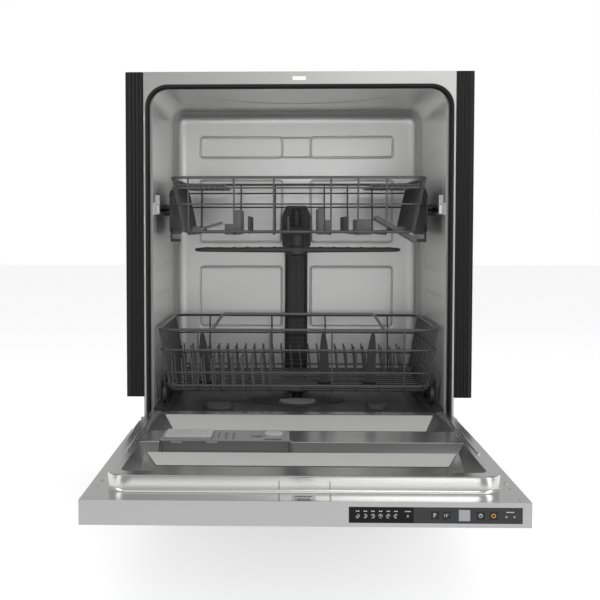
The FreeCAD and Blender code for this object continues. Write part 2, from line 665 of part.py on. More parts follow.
def lower_rack_walls():
    """Four wire walls, a raised handle at the front and the wheel plates."""
    z0 = LOWER_FLOOR_Z + 12
    y0 = LOWER_FRONT_Y + RIM_WIRE
    y1 = LOWER_REAR_Y - RIM_WIRE
    side_y0 = y0 + RIM_WIRE + 0.4
    side_y1 = y1 - RIM_WIRE - 0.4
    walls = []
    for side in (-1, 1):
        wall = side_wall(side * LOWER_HALF, side_y0, side_y1, z0, LOWER_RIM_Z, 7)
        plates = [wall]
        for y in wheel_lines():
            x_in = side * (LOWER_HALF - WHEEL_WIDTH / 2 - 6)
            x_out = side * LOWER_HALF
            plate_x = min(x_out, x_out + side * 2.5)
            plates.append(box(plate_x, plate_x + 2.5, y - 14, y + 14, WHEEL_Z - 6, z0 + 4))
            plates.append(rod((x_in - side * 6, y, WHEEL_Z), (x_out + side, y, WHEEL_Z), AXLE_R))
        walls.append(weld(plates))
    front = end_wall(y0, LOWER_HALF, z0, LOWER_RIM_Z, 6, 1)
    rise = LOWER_RIM_Z + LOWER_HANDLE_RISE
    handle = bent_rod([(-160, y0, LOWER_RIM_Z), (-140, y0, rise), (140, y0, rise),
                       (160, y0, LOWER_RIM_Z)], RIM_WIRE, 14)
    walls.append(weld([front, handle]))
    walls.append(end_wall(y1, LOWER_HALF, z0, LOWER_RIM_Z, 6, -1))
    return Part.makeCompound(walls)


def wheel_lines():
    return even_steps(LOWER_FRONT_Y + 40, LOWER_REAR_Y - 40, 4)


def wheel_pair(y):
    x0 = LOWER_HALF - 5 - WHEEL_WIDTH
    wheel = rod((x0, y, WHEEL_Z), (x0 + WHEEL_WIDTH, y, WHEEL_Z), WHEEL_R)
    wheel = wheel.cut(rod((x0 - 1, y, WHEEL_Z), (x0 + WHEEL_WIDTH + 1, y, WHEEL_Z),
                          AXLE_R + RUNNING_GAP))
    for k in range(5):
        turn = 2 * math.pi * k / 5
        hole_y = y + 10 * math.cos(turn)
        hole_z = WHEEL_Z + 10 * math.sin(turn)
        wheel = wheel.cut(rod((x0 - 1, hole_y, hole_z), (x0 + WHEEL_WIDTH + 1, hole_y, hole_z), 3))
    return both_sides(wheel)


def tine_row(x0, x1, y):
    """Row of plate tines on one axle wire, leaning a little to the back."""
    z = LOWER_FLOOR_Z + 8
    wires = [rod((x0, y, z), (x1, y, z), WIRE)]
    count = int((x1 - x0) / TINE_PITCH)
    for k in range(count):
        x = x0 + TINE_PITCH * (k + 0.5)
        wires.append(rod((x, y, z), (x, y + 14, z + TINE_HEIGHT - 2), WIRE))
    return weld(wires)


def tines_left():
    return tine_row(-LOWER_HALF + 30, -40, LOWER_FRONT_Y + 150)


def tines_right():
    return tine_row(50, LOWER_HALF - 30, LOWER_FRONT_Y + 150)


# Door

def hinge_slot():
    """Room in the door for the hinge plates on one side, as it swings."""
    x0 = TRAY_HALF - TRAY_WALL - BRACKET_THICK - ARM_CLEARANCE
    x1 = TRAY_HALF - TRAY_WALL + ARM_CLEARANCE + BRACKET_THICK + 3
    return rod((x0, FLANGE_Y, PIVOT_Z), (x1, FLANGE_Y, PIVOT_Z), SLOT_RADIUS)


def hinge_arms():
    x0 = TRAY_HALF - TRAY_WALL + ARM_CLEARANCE
    x1 = x0 + BRACKET_THICK
    boss = rod((x0, FLANGE_Y, PIVOT_Z), (x1, FLANGE_Y, PIVOT_Z), PIN_R + 5)
    blade = box(x0, x1, FLANGE_Y - 130, FLANGE_Y, PIVOT_Z - 30, DOOR_TOP_Z - LINER_THICK)
    bore = rod((x0 - 1, FLANGE_Y, PIVOT_Z), (x1 + 1, FLANGE_Y, PIVOT_Z), PIN_R + RUNNING_GAP)
    return both_sides(weld([boss, blade]).cut(bore))


def door_outer_panel():
    """Outer skin with its turned-up edges and the window for the control strip."""
    skin = 1.2
    outer = box(-DOOR_HALF, DOOR_HALF, DOOR_NEAR_Y, DOOR_FAR_Y, DOOR_BOTTOM_Z,
                DOOR_TOP_Z - LINER_THICK)
    inner = box(-DOOR_HALF + skin, DOOR_HALF - skin, DOOR_NEAR_Y + skin, DOOR_FAR_Y - skin,
                DOOR_BOTTOM_Z + skin, DOOR_TOP_Z + 1)
    lip = box(-DOOR_HALF, DOOR_HALF, DOOR_NEAR_Y, DOOR_NEAR_Y + skin, DOOR_TOP_Z - LINER_THICK - 1,
              DOOR_TOP_Z)
    panel = weld([outer.cut(inner), lip])
    window = box(STRIP_LEFT, STRIP_RIGHT, DOOR_NEAR_Y - 1, DOOR_NEAR_Y + skin + 1,
                 STRIP_TOP_Z - STRIP_HEIGHT, STRIP_TOP_Z)
    panel = panel.cut(window).cut(hinge_slot()).cut(mirrored(hinge_slot()))
    for x in (-250, 250):
        for y in (DOOR_NEAR_Y + 120, DOOR_NEAR_Y + 480):
            panel = panel.cut(disc(x, y, DOOR_BOTTOM_Z - 1, DOOR_BOTTOM_Z + 2, 2.1))
    return panel


def recess(outline, z):
    """Sunken area of the liner: its cut, and the wider cut for the shell below it."""
    return prism([(x, y, z) for x, y in outline], [12] * 4, (0, 0, 40))


def liner_recess_outlines():
    near = FLANGE_Y - 539
    middle = FLANGE_Y - 330
    groove_near = FLANGE_Y - 271
    far = FLANGE_Y - 26
    plate = [(-212, near), (212, near), (237, middle), (-237, middle)]
    panel = [(-205, groove_near), (205, groove_near), (240, far), (-240, far)]
    return plate, panel


def grown(outline, amount):
    middle_y = (outline[0][1] + outline[2][1]) / 2
    return [(x + amount * math.copysign(1, x), y + amount * math.copysign(1, y - middle_y))
            for x, y in outline]


def door_liner():
    """Inner door: flat ledge with a hollow raised block and two sunken areas."""
    ledge_z = DOOR_TOP_Z - LINER_THICK
    ledge = box(-DOOR_HALF, DOOR_HALF, DOOR_NEAR_Y + 1.2, DOOR_FAR_Y, ledge_z, DOOR_TOP_Z)
    corners = [(-BLOCK_HALF, BLOCK_NEAR_Y), (BLOCK_HALF, BLOCK_NEAR_Y),
               (BLOCK_HALF, BLOCK_FAR_Y), (-BLOCK_HALF, BLOCK_FAR_Y)]
    radii = [BLOCK_CORNER, BLOCK_CORNER, 8, 8]
    block = prism([(x, y, ledge_z) for x, y in corners], radii, (0, 0, BLOCK_TOP_Z - ledge_z))
    shrunk = grown(corners, -SHELL)
    hollow_height = BLOCK_TOP_Z - SHELL - ledge_z + 1
    hollow = prism([(x, y, ledge_z - 1) for x, y in shrunk],
                   [BLOCK_CORNER - SHELL, BLOCK_CORNER - SHELL, 6, 6], (0, 0, hollow_height))
    plate, panel = liner_recess_outlines()
    for outline, z in ((plate, DOOR_TOP_Z + 9), (panel, DOOR_TOP_Z + 12)):
        hollow = hollow.cut(recess(grown(outline, SHELL), z - SHELL))
        block = block.cut(recess(outline, z))
    liner = weld([ledge, block]).cut(hollow)
    pocket = box(DISPENSER_LEFT + 1, DISPENSER_RIGHT - 1, FLANGE_Y - DISPENSER_NEAR + 1,
                 FLANGE_Y - DISPENSER_FAR - 1, ledge_z - 1, BLOCK_TOP_Z + 1)
    latch_pocket = box(-15.3, 15.3, DOOR_NEAR_Y + 3, DOOR_NEAR_Y + 34, ledge_z - 1, BLOCK_TOP_Z)
    liner = liner.cut(pocket).cut(latch_pocket).cut(hinge_slot()).cut(mirrored(hinge_slot()))
    for x in (-284, 284):
        for distance in (9, 85, 124):
            y = DOOR_NEAR_Y + distance
            liner = liner.cut(disc(x, y, ledge_z - 1, DOOR_TOP_Z + 1, 2))
    return liner


def door_insulation():
    """Bitumen mat that lies on the door's outer skin."""
    z0 = DOOR_BOTTOM_Z + 1.2
    pad = box(-DOOR_HALF + 34, DOOR_HALF - 34, DOOR_NEAR_Y + 50, FLANGE_Y - 30,
              z0, z0 + MAT_THICK)
    room = box(DISPENSER_LEFT - 3, DISPENSER_RIGHT + 3, FLANGE_Y - DISPENSER_NEAR - 3,
               FLANGE_Y - DISPENSER_FAR + 3, DOOR_BOTTOM_Z, BLOCK_TOP_Z)
    return pad.cut(room)


def control_console():
    y0 = DOOR_NEAR_Y
    z0 = STRIP_TOP_Z - STRIP_HEIGHT
    body = box(STRIP_LEFT, STRIP_RIGHT, y0, y0 + STRIP_DEPTH, z0, STRIP_TOP_Z)
    half = BUTTON_SIZE / 2 + BUTTON_GAP
    for x in BUTTON_XS.values():
        body = body.cut(box(x - half, x + half, y0 - 1, y0 + BUTTON_DEPTH + BUTTON_TRAVEL + 0.4,
                            STRIP_MIDDLE_Z - half, STRIP_MIDDLE_Z + half))
    half = DISPLAY_WIDTH / 2
    return body.cut(box(DISPLAY_X - half, DISPLAY_X + half, y0 - 1, y0 + 3,
                        STRIP_MIDDLE_Z - half, STRIP_MIDDLE_Z + half))


def control_display():
    half = DISPLAY_WIDTH / 2
    return box(DISPLAY_X - half, DISPLAY_X + half, DOOR_NEAR_Y + 0.3, DOOR_NEAR_Y + 3,
               STRIP_MIDDLE_Z - half, STRIP_MIDDLE_Z + half)


def button(x):
    half = BUTTON_SIZE / 2
    key = box(x - half, x + half, DOOR_NEAR_Y, DOOR_NEAR_Y + BUTTON_DEPTH,
              STRIP_MIDDLE_Z - half, STRIP_MIDDLE_Z + half)
    upright = [edge for edge in key.Edges
               if abs(edge.Vertexes[0].Y - edge.Vertexes[1].Y) > BUTTON_DEPTH / 2]
    return key.makeFillet(1.2, upright)


def latch_hook():
    y0 = DOOR_NEAR_Y + 4
    body = box(-12, 12, y0 + 3.4, y0 + 25, DOOR_TOP_Z - 12, DOOR_TOP_Z)
    hook = box(-9, 9, y0 + 6, y0 + 12, DOOR_TOP_Z - 1, DOOR_TOP_Z + 2)
    return weld([body, hook])


def latch_case():
    y0 = DOOR_NEAR_Y + 3
    case = box(-15, 15, y0, y0 + 31, DOOR_TOP_Z - 14, DOOR_TOP_Z)
    return case.cut(box(-12.3, 12.3, y0 + 1.5, y0 + 29.5, DOOR_TOP_Z - 12.3, DOOR_TOP_Z + 1))


def dispenser_body():
    y0 = FLANGE_Y - DISPENSER_NEAR
    y1 = FLANGE_Y - DISPENSER_FAR
    case = box(DISPENSER_LEFT + 1, DISPENSER_RIGHT - 1, y0 + 1, y1 - 1,
               BLOCK_TOP_Z - DISPENSER_DEPTH, BLOCK_TOP_Z)
    cup = box(lid_left() + 4, lid_left() + LID_WIDTH - 4, y0 + 14, y0 + 14 + LID_LENGTH - 8,
              BLOCK_TOP_Z - 34, BLOCK_TOP_Z + 1)
    neck_x, neck_y = cap_place()
    neck = disc(neck_x, neck_y, BLOCK_TOP_Z - 12, BLOCK_TOP_Z + 1, CAP_R - 4)
    return case.cut(cup).cut(neck)


def lid_left():
    return DISPENSER_LEFT + 6


def cap_place():
    return DISPENSER_RIGHT - 26, FLANGE_Y - (DISPENSER_NEAR + DISPENSER_FAR) / 2


def dispenser_lid():
    y0 = FLANGE_Y - DISPENSER_NEAR + 10
    z0 = BLOCK_TOP_Z + LID_GAP
    lid = box(lid_left(), lid_left() + LID_WIDTH, y0, y0 + LID_LENGTH, z0, z0 + LID_THICK)
    grip = box(lid_left() + LID_WIDTH - 14, lid_left() + LID_WIDTH - 10, y0 + 20,
               y0 + LID_LENGTH - 20, z0 + LID_THICK - 0.5, z0 + LID_THICK + 2)
    return weld([lid, grip])


def rinse_aid_cap():
    x, y = cap_place()
    top = BLOCK_TOP_Z + 4
    cap = disc(x, y, BLOCK_TOP_Z + 0.2, top, CAP_R)
    plug = disc(x, y, BLOCK_TOP_Z - 9, BLOCK_TOP_Z + 0.5, CAP_R - 4.05)
    grip = box(x - CAP_R + 2, x + CAP_R - 2, y - 1.5, y + 1.5, top - 0.5, top + 2.5)
    return weld([cap, plug, grip])


def build_nodes():
    nodes = {
        "tub_wrapper": tub_wrapper(),
        "tub_back": tub_back(),
        "tub_floor": tub_floor(),
        "front_flange": front_flange(),
        "door_gasket": door_gasket(),
        "side_strip_right": side_strip(),
        "side_strip_left": mirrored(side_strip()),
        "sound_jacket": sound_jacket(),
        "worktop_brackets": worktop_brackets(),
        "hinge_brackets": hinge_brackets(),
        "base_tray": base_tray(),
        "door_springs": door_springs(),
        "sump": sump(),
        "filter_plate": filter_plate(),
        "coarse_filter": coarse_filter(),
        "circulation_pump": circulation_pump(),
        "drain_pump": drain_pump(),
        "water_softener": water_softener(),
        "salt_cap": salt_cap(),
        "float_dome": float_dome(),
        "inlet_valve": inlet_valve(),
        "terminal_box": terminal_box(),
        "riser_duct": riser_duct(),
        "lower_spray_arm": lower_spray_arm(),
        "upper_spray_arm": upper_spray_arm(),
        "upper_feed_pipe": upper_feed_pipe(),
        "rail_holders": rail_holders(),
        "rail_slides": rail_slides(),
        "height_brackets": height_brackets(),
        "upper_rack_floor": upper_rack_floor(),
        "upper_rack_walls": upper_rack_walls(),
        "cup_shelf_left": cup_shelf(-1),
        "cup_shelf_right": cup_shelf(1),
        "lower_rack_floor": lower_rack_floor(),
        "lower_rack_walls": lower_rack_walls(),
        "tines_left": tines_left(),
        "tines_right": tines_right(),
        "hinge_arms": hinge_arms(),
        "door_outer_panel": door_outer_panel(),
        "door_liner": door_liner(),
        "door_insulation": door_insulation(),
        "control_console": control_console(),
        "control_display": control_display(),
        "latch_case": latch_case(),
        "latch_hook": latch_hook(),
        "dispenser_body": dispenser_body(),
        "dispenser_lid": dispenser_lid(),
        "rinse_aid_cap": rinse_aid_cap(),
    }
    for index, y in enumerate(wheel_lines()):
        nodes[f"wheel_pair_{index + 1}"] = wheel_pair(y)
    names = ("foot_front_left", "foot_front_right", "foot_rear_left", "foot_rear_right")
    for name, place in zip(names, foot_places()):
        nodes[name] = foot(*place)
    for name, x in BUTTON_XS.items():
        nodes[name] = button(x)
    return nodes


os.makedirs("parts", exist_ok=True)
for node, shape in build_nodes().items():
    shape.exportStep(f"parts/{node}.step")
    print(node, len(shape.Solids), "solid(s)", round(shape.Volume / 1000, 1), "cm3")
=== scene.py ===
import bpy
import bmesh
import math
from mathutils import Matrix, Vector, noise


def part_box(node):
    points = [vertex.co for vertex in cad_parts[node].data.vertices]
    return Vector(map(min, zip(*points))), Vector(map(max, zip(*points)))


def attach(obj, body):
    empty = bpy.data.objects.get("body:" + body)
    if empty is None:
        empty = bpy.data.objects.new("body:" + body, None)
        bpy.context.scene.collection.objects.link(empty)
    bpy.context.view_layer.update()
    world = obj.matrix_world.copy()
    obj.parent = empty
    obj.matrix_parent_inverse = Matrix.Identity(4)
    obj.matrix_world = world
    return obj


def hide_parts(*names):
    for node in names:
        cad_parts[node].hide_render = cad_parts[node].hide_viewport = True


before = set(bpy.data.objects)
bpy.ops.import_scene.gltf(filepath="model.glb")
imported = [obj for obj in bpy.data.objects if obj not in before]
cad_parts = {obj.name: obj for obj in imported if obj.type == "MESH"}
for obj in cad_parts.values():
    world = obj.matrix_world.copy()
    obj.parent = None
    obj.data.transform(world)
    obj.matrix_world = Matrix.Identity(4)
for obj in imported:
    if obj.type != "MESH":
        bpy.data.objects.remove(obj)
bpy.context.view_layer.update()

bl_info = {
    "name": "Built-in dishwasher",
    "version": (1, 0, 0),
    "blender": (4, 5, 0),
    "location": "3D View > Sidebar > Dishwasher",
    "description": "Builds the visible pieces of an open built-in dishwasher round its frame",
    "category": "Object",
}

MM = 0.001


def low(node):
    return Vector(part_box(node)[0])


def high(node):
    return Vector(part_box(node)[1])


# Places read from the frame
FLANGE_Y = low("front_flange").y
FRAME_HALF = high("front_flange").x
BODY_TOP = high("front_flange").z
TUB_HALF = high("tub_floor").x
TUB_TOP = high("tub_wrapper").z - 1.5 * MM
TUB_FRONT_Y = low("tub_wrapper").y
TUB_BACK_Y = low("tub_back").y
TUB_FLOOR_Z = low("tub_wrapper").z
GASKET_HALF = high("door_gasket").x
GASKET_TOP = high("door_gasket").z
DOOR_NEAR_Y = low("door_outer_panel").y
DOOR_FAR_Y = high("door_outer_panel").y
DOOR_HALF = high("door_outer_panel").x
DOOR_TOP_Z = high("door_outer_panel").z
DOOR_BOTTOM_Z = low("door_outer_panel").z
BLOCK_TOP_Z = high("door_liner").z
UPPER = (low("upper_rack_walls"), high("upper_rack_walls"))
LOWER = (low("lower_rack_walls"), high("lower_rack_walls"))
UPPER_FLOOR_Z = low("upper_rack_floor").z + 3.6 * MM
LOWER_FLOOR_Z = low("lower_rack_floor").z + 3.6 * MM


# Mesh helpers

def new_object(name, mesh, materials, body, replaced=(), smooth=True):
    """Finish a piece: link it, give it its materials and let it ride on a body."""
    piece = bpy.data.objects.new(name, mesh)
    bpy.context.scene.collection.objects.link(piece)
    if mesh.materials:
        mesh.materials.clear()
    for material in materials:
        mesh.materials.append(material)
    if smooth:
        mesh.shade_smooth()
        mesh.set_sharp_from_angle(angle=math.radians(32))
    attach(piece, body)
    if replaced:
        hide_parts(*replaced)
    return piece


def mesh_from_bmesh(name, bm, merge=0.00001):
    if merge:
        bmesh.ops.remove_doubles(bm, verts=bm.verts, dist=merge)
    bmesh.ops.recalc_face_normals(bm, faces=bm.faces)
    mesh = bpy.data.meshes.new(name)
    bm.to_mesh(mesh)
    bm.free()
    return mesh


def add_box(bm, x0, x1, y0, y1, z0, z1, bevel=0.0, index=0):
    """Box with its edges rounded, added to a bmesh."""
    part = bmesh.new()
    bmesh.ops.create_cube(part, size=1.0)
    for vert in part.verts:
        vert.co.x = x1 if vert.co.x > 0 else x0
        vert.co.y = y1 if vert.co.y > 0 else y0
        vert.co.z = z1 if vert.co.z > 0 else z0
    if bevel > 0:
        bmesh.ops.bevel(part, geom=part.edges[:], offset=bevel, segments=2, profile=0.6,
                        affect="EDGES")
    join_bmesh(bm, part, index)


def join_bmesh(bm, part, index=0, matrix=None):
    if matrix is not None:
        bmesh.ops.transform(part, matrix=matrix, verts=part.verts)
    for face in part.faces:
        face.material_index = index
    bmesh.ops.recalc_face_normals(part, faces=part.faces)
    holder = bpy.data.meshes.new("holder")
    part.to_mesh(holder)
    part.free()
    bm.from_mesh(holder)
    bpy.data.meshes.remove(holder)


def add_tube(bm, start, end, radius, sides=12, index=0, radius_end=None):
    start, end = Vector(start), Vector(end)
    axis = end - start
    part = bmesh.new()
    top = radius if radius_end is None else radius_end
    bmesh.ops.create_cone(part, cap_ends=True, segments=sides, radius1=radius, radius2=top,
                          depth=axis.length)
    turn = Vector((0, 0, 1)).rotation_difference(axis.normalized()).to_matrix().to_4x4()
    join_bmesh(bm, part, index, Matrix.Translation((start + end) / 2) @ turn)


def add_lathe(bm, profile, centre, axis="Z", sides=32, index=0):
    """Turned shape: profile is (radius, height) pairs from one pole to the other."""
    part = bmesh.new()
    rings = []
    for radius, height in profile:
        if radius < 1e-7:
            rings.append([part.verts.new((0, 0, height))])
            continue
        rings.append([part.verts.new((radius * math.cos(2 * math.pi * k / sides),
                                      radius * math.sin(2 * math.pi * k / sides), height))
                      for k in range(sides)])
    for ring, after in zip(rings, rings[1:]):
        for k in range(sides):
            m = (k + 1) % sides
            if len(ring) == 1:
                part.faces.new((ring[0], after[k], after[m]))
            elif len(after) == 1:
                part.faces.new((ring[k], ring[m], after[0]))
            else:
                part.faces.new((ring[k], ring[m], after[m], after[k]))
    turn = {"Z": Matrix.Identity(4), "X": Matrix.Rotation(math.radians(90), 4, "Y"),
            "Y": Matrix.Rotation(math.radians(-90), 4, "X")}[axis]
    join_bmesh(bm, part, index, Matrix.Translation(centre) @ turn)


def rounded_loop(corners, radii, steps=6):
    """Closed outline in the plane, each corner turned with the same number of points."""
    loop = []
    count = len(corners)
    for k in range(count):
        here = Vector(corners[k])
        back = (Vector(corners[k - 1]) - here).normalized()
        ahead = (Vector(corners[(k + 1) % count]) - here).normalized()
        half = back.angle(ahead) / 2
        radius = max(radii[k], 0.00005)
        start = here + back * (radius / math.tan(half))
        end = here + ahead * (radius / math.tan(half))
        centre = here + (back + ahead).normalized() * (radius / math.sin(half))
        from_centre, to_centre = start - centre, end - centre
        sweep = from_centre.angle_signed(to_centre)
        for s in range(steps + 1):
            angle = -sweep * s / steps
            c, d = math.cos(angle), math.sin(angle)
            loop.append(centre + Vector((from_centre.x * c - from_centre.y * d,
                                         from_centre.x * d + from_centre.y * c)))
    return loop


def add_loft(bm, loops, cap_start=True, cap_end=True, index=0):
    """Skin between closed loops of 3-D points that have equal counts."""
    rings = [[bm.verts.new(point) for point in loop] for loop in loops]
    faces = []
    for ring, after in zip(rings, rings[1:]):
        for k in range(len(ring)):
            m = (k + 1) % len(ring)
            faces.append(bm.faces.new((ring[k], ring[m], after[m], after[k])))
    if cap_start:
        faces.append(bm.faces.new(rings[0][::-1]))
    if cap_end:
        faces.append(bm.faces.new(rings[-1]))
    for face in faces:
        face.material_index = index
    return rings


def fill_flat(bm, rings):
    """Flat area between an outer ring and the rings of its holes."""
    edges = []
    for ring in rings:
        for k in range(len(ring)):
            pair = (ring[k], ring[(k + 1) % len(ring)])
            edge = bm.edges.get(pair) or bm.edges.new(pair)
            edges.append(edge)
    bmesh.ops.triangle_fill(bm, use_beauty=True, use_dissolve=False, edges=edges)


def arch_path(half, top, radius, bottom, steps=10):
    """Points and outward directions from the left foot over the top to the right foot."""
    points = [((-half, bottom), (-1, 0)), ((-half, top - radius), (-1, 0))]
    for side in (-1, 1):
        for s in range(1, steps + 1):
            turn = math.pi / 2 * s / steps
            if side < 0:
                way = (-math.cos(turn), math.sin(turn))
                centre = (-half + radius, top - radius)
            else:
                way = (math.sin(turn), math.cos(turn))
                centre = (half - radius, top - radius)
            if side > 0 and s == 1:
                points.append(((half - radius, top), (0, 1)))
            points.append(((centre[0] + radius * way[0], centre[1] + radius * way[1]), way))
    points.append(((half, bottom), (1, 0)))
    return points


def add_arch_sweep(bm, path, profile, index=0):
    """Closed profile of (outward, depth) pairs carried along an arch path."""
    rings = []
    for (x, z), (out_x, out_z) in path:
        rings.append([bm.verts.new((x + out_x * a, b, z + out_z * a)) for a, b in profile])
    for ring, after in zip(rings, rings[1:]):
        for k in range(len(profile)):
            m = (k + 1) % len(profile)
            face = bm.faces.new((ring[k], ring[m], after[m], after[k]))
            face.material_index = index
    bm.faces.new(rings[0][::-1]).material_index = index
    bm.faces.new(rings[-1]).material_index = index


# Materials

def surface(name, colour, variation, roughness, roughness_spread, metallic, pattern_scale,
            bump, grain_scale, coat=0.0, specular=0.5):
    """Procedural finish: a broad colour variation, a fine grain in gloss and relief."""
    made = bpy.data.materials.new(name)
    made.use_nodes = True
    nodes, links = made.node_tree.nodes, made.node_tree.links
    shader = nodes["Principled BSDF"]
    shader.inputs["Metallic"].default_value = metallic
    shader.inputs["Coat Weight"].default_value = coat
    shader.inputs["Specular IOR Level"].default_value = specular
    place = nodes.new("ShaderNodeTexCoord")
    broad_map = nodes.new("ShaderNodeMapping")
    broad_map.inputs["Scale"].default_value = pattern_scale
    fine_map = nodes.new("ShaderNodeMapping")
    fine_map.inputs["Scale"].default_value = grain_scale
    broad = nodes.new("ShaderNodeTexNoise")
    broad.inputs["Scale"].default_value = 1.0
    broad.inputs["Detail"].default_value = 3.0
    fine = nodes.new("ShaderNodeTexNoise")
    fine.inputs["Scale"].default_value = 1.0
    fine.inputs["Detail"].default_value = 4.0
    links.new(place.outputs["Object"], broad_map.inputs["Vector"])
    links.new(place.outputs["Object"], fine_map.inputs["Vector"])
    links.new(broad_map.outputs["Vector"], broad.inputs["Vector"])
    links.new(fine_map.outputs["Vector"], fine.inputs["Vector"])
    tint = nodes.new("ShaderNodeMix")
    tint.data_type = "RGBA"
    darker = [c * (1 - variation) for c in colour]
    lighter = [min(1.0, c * (1 + variation)) for c in colour]
    tint.inputs["A"].default_value = (*darker, 1)
    tint.inputs["B"].default_value = (*lighter, 1)
    blend = nodes.new("ShaderNodeMath")
    blend.operation = "MULTIPLY_ADD"
    blend.inputs[1].default_value = 0.5
    half = nodes.new("ShaderNodeMath")
    half.operation = "MULTIPLY"
    half.inputs[1].default_value = 0.5
    links.new(fine.outputs["Fac"], half.inputs[0])
    links.new(broad.outputs["Fac"], blend.inputs[0])
    links.new(half.outputs[0], blend.inputs[2])
    links.new(blend.outputs[0], tint.inputs["Factor"])
    links.new(tint.outputs["Result"], shader.inputs["Base Color"])
    gloss = nodes.new("ShaderNodeMapRange")
    gloss.inputs["From Min"].default_value = 0.25
    gloss.inputs["From Max"].default_value = 0.75
    gloss.inputs["To Min"].default_value = max(0.02, roughness - roughness_spread)
    gloss.inputs["To Max"].default_value = roughness + roughness_spread
    links.new(blend.outputs[0], gloss.inputs["Value"])
    links.new(gloss.outputs["Result"], shader.inputs["Roughness"])
    relief = nodes.new("ShaderNodeBump")
    relief.inputs["Strength"].default_value = bump
    relief.inputs["Distance"].default_value = 0.0006
    links.new(fine.outputs["Fac"], relief.inputs["Height"])
    links.new(relief.outputs["Normal"], shader.inputs["Normal"])
    return made


def brushed(name, colour, roughness, along, bump=0.05, spread=0.06):
    """Satin steel with its brush marks along one axis."""
    scale = [1400.0, 1400.0, 1400.0]
    scale["XYZ".index(along)] = 12.0
    return surface(name, colour, 0.05, roughness, spread, 1.0, (3, 3, 3), bump, scale)


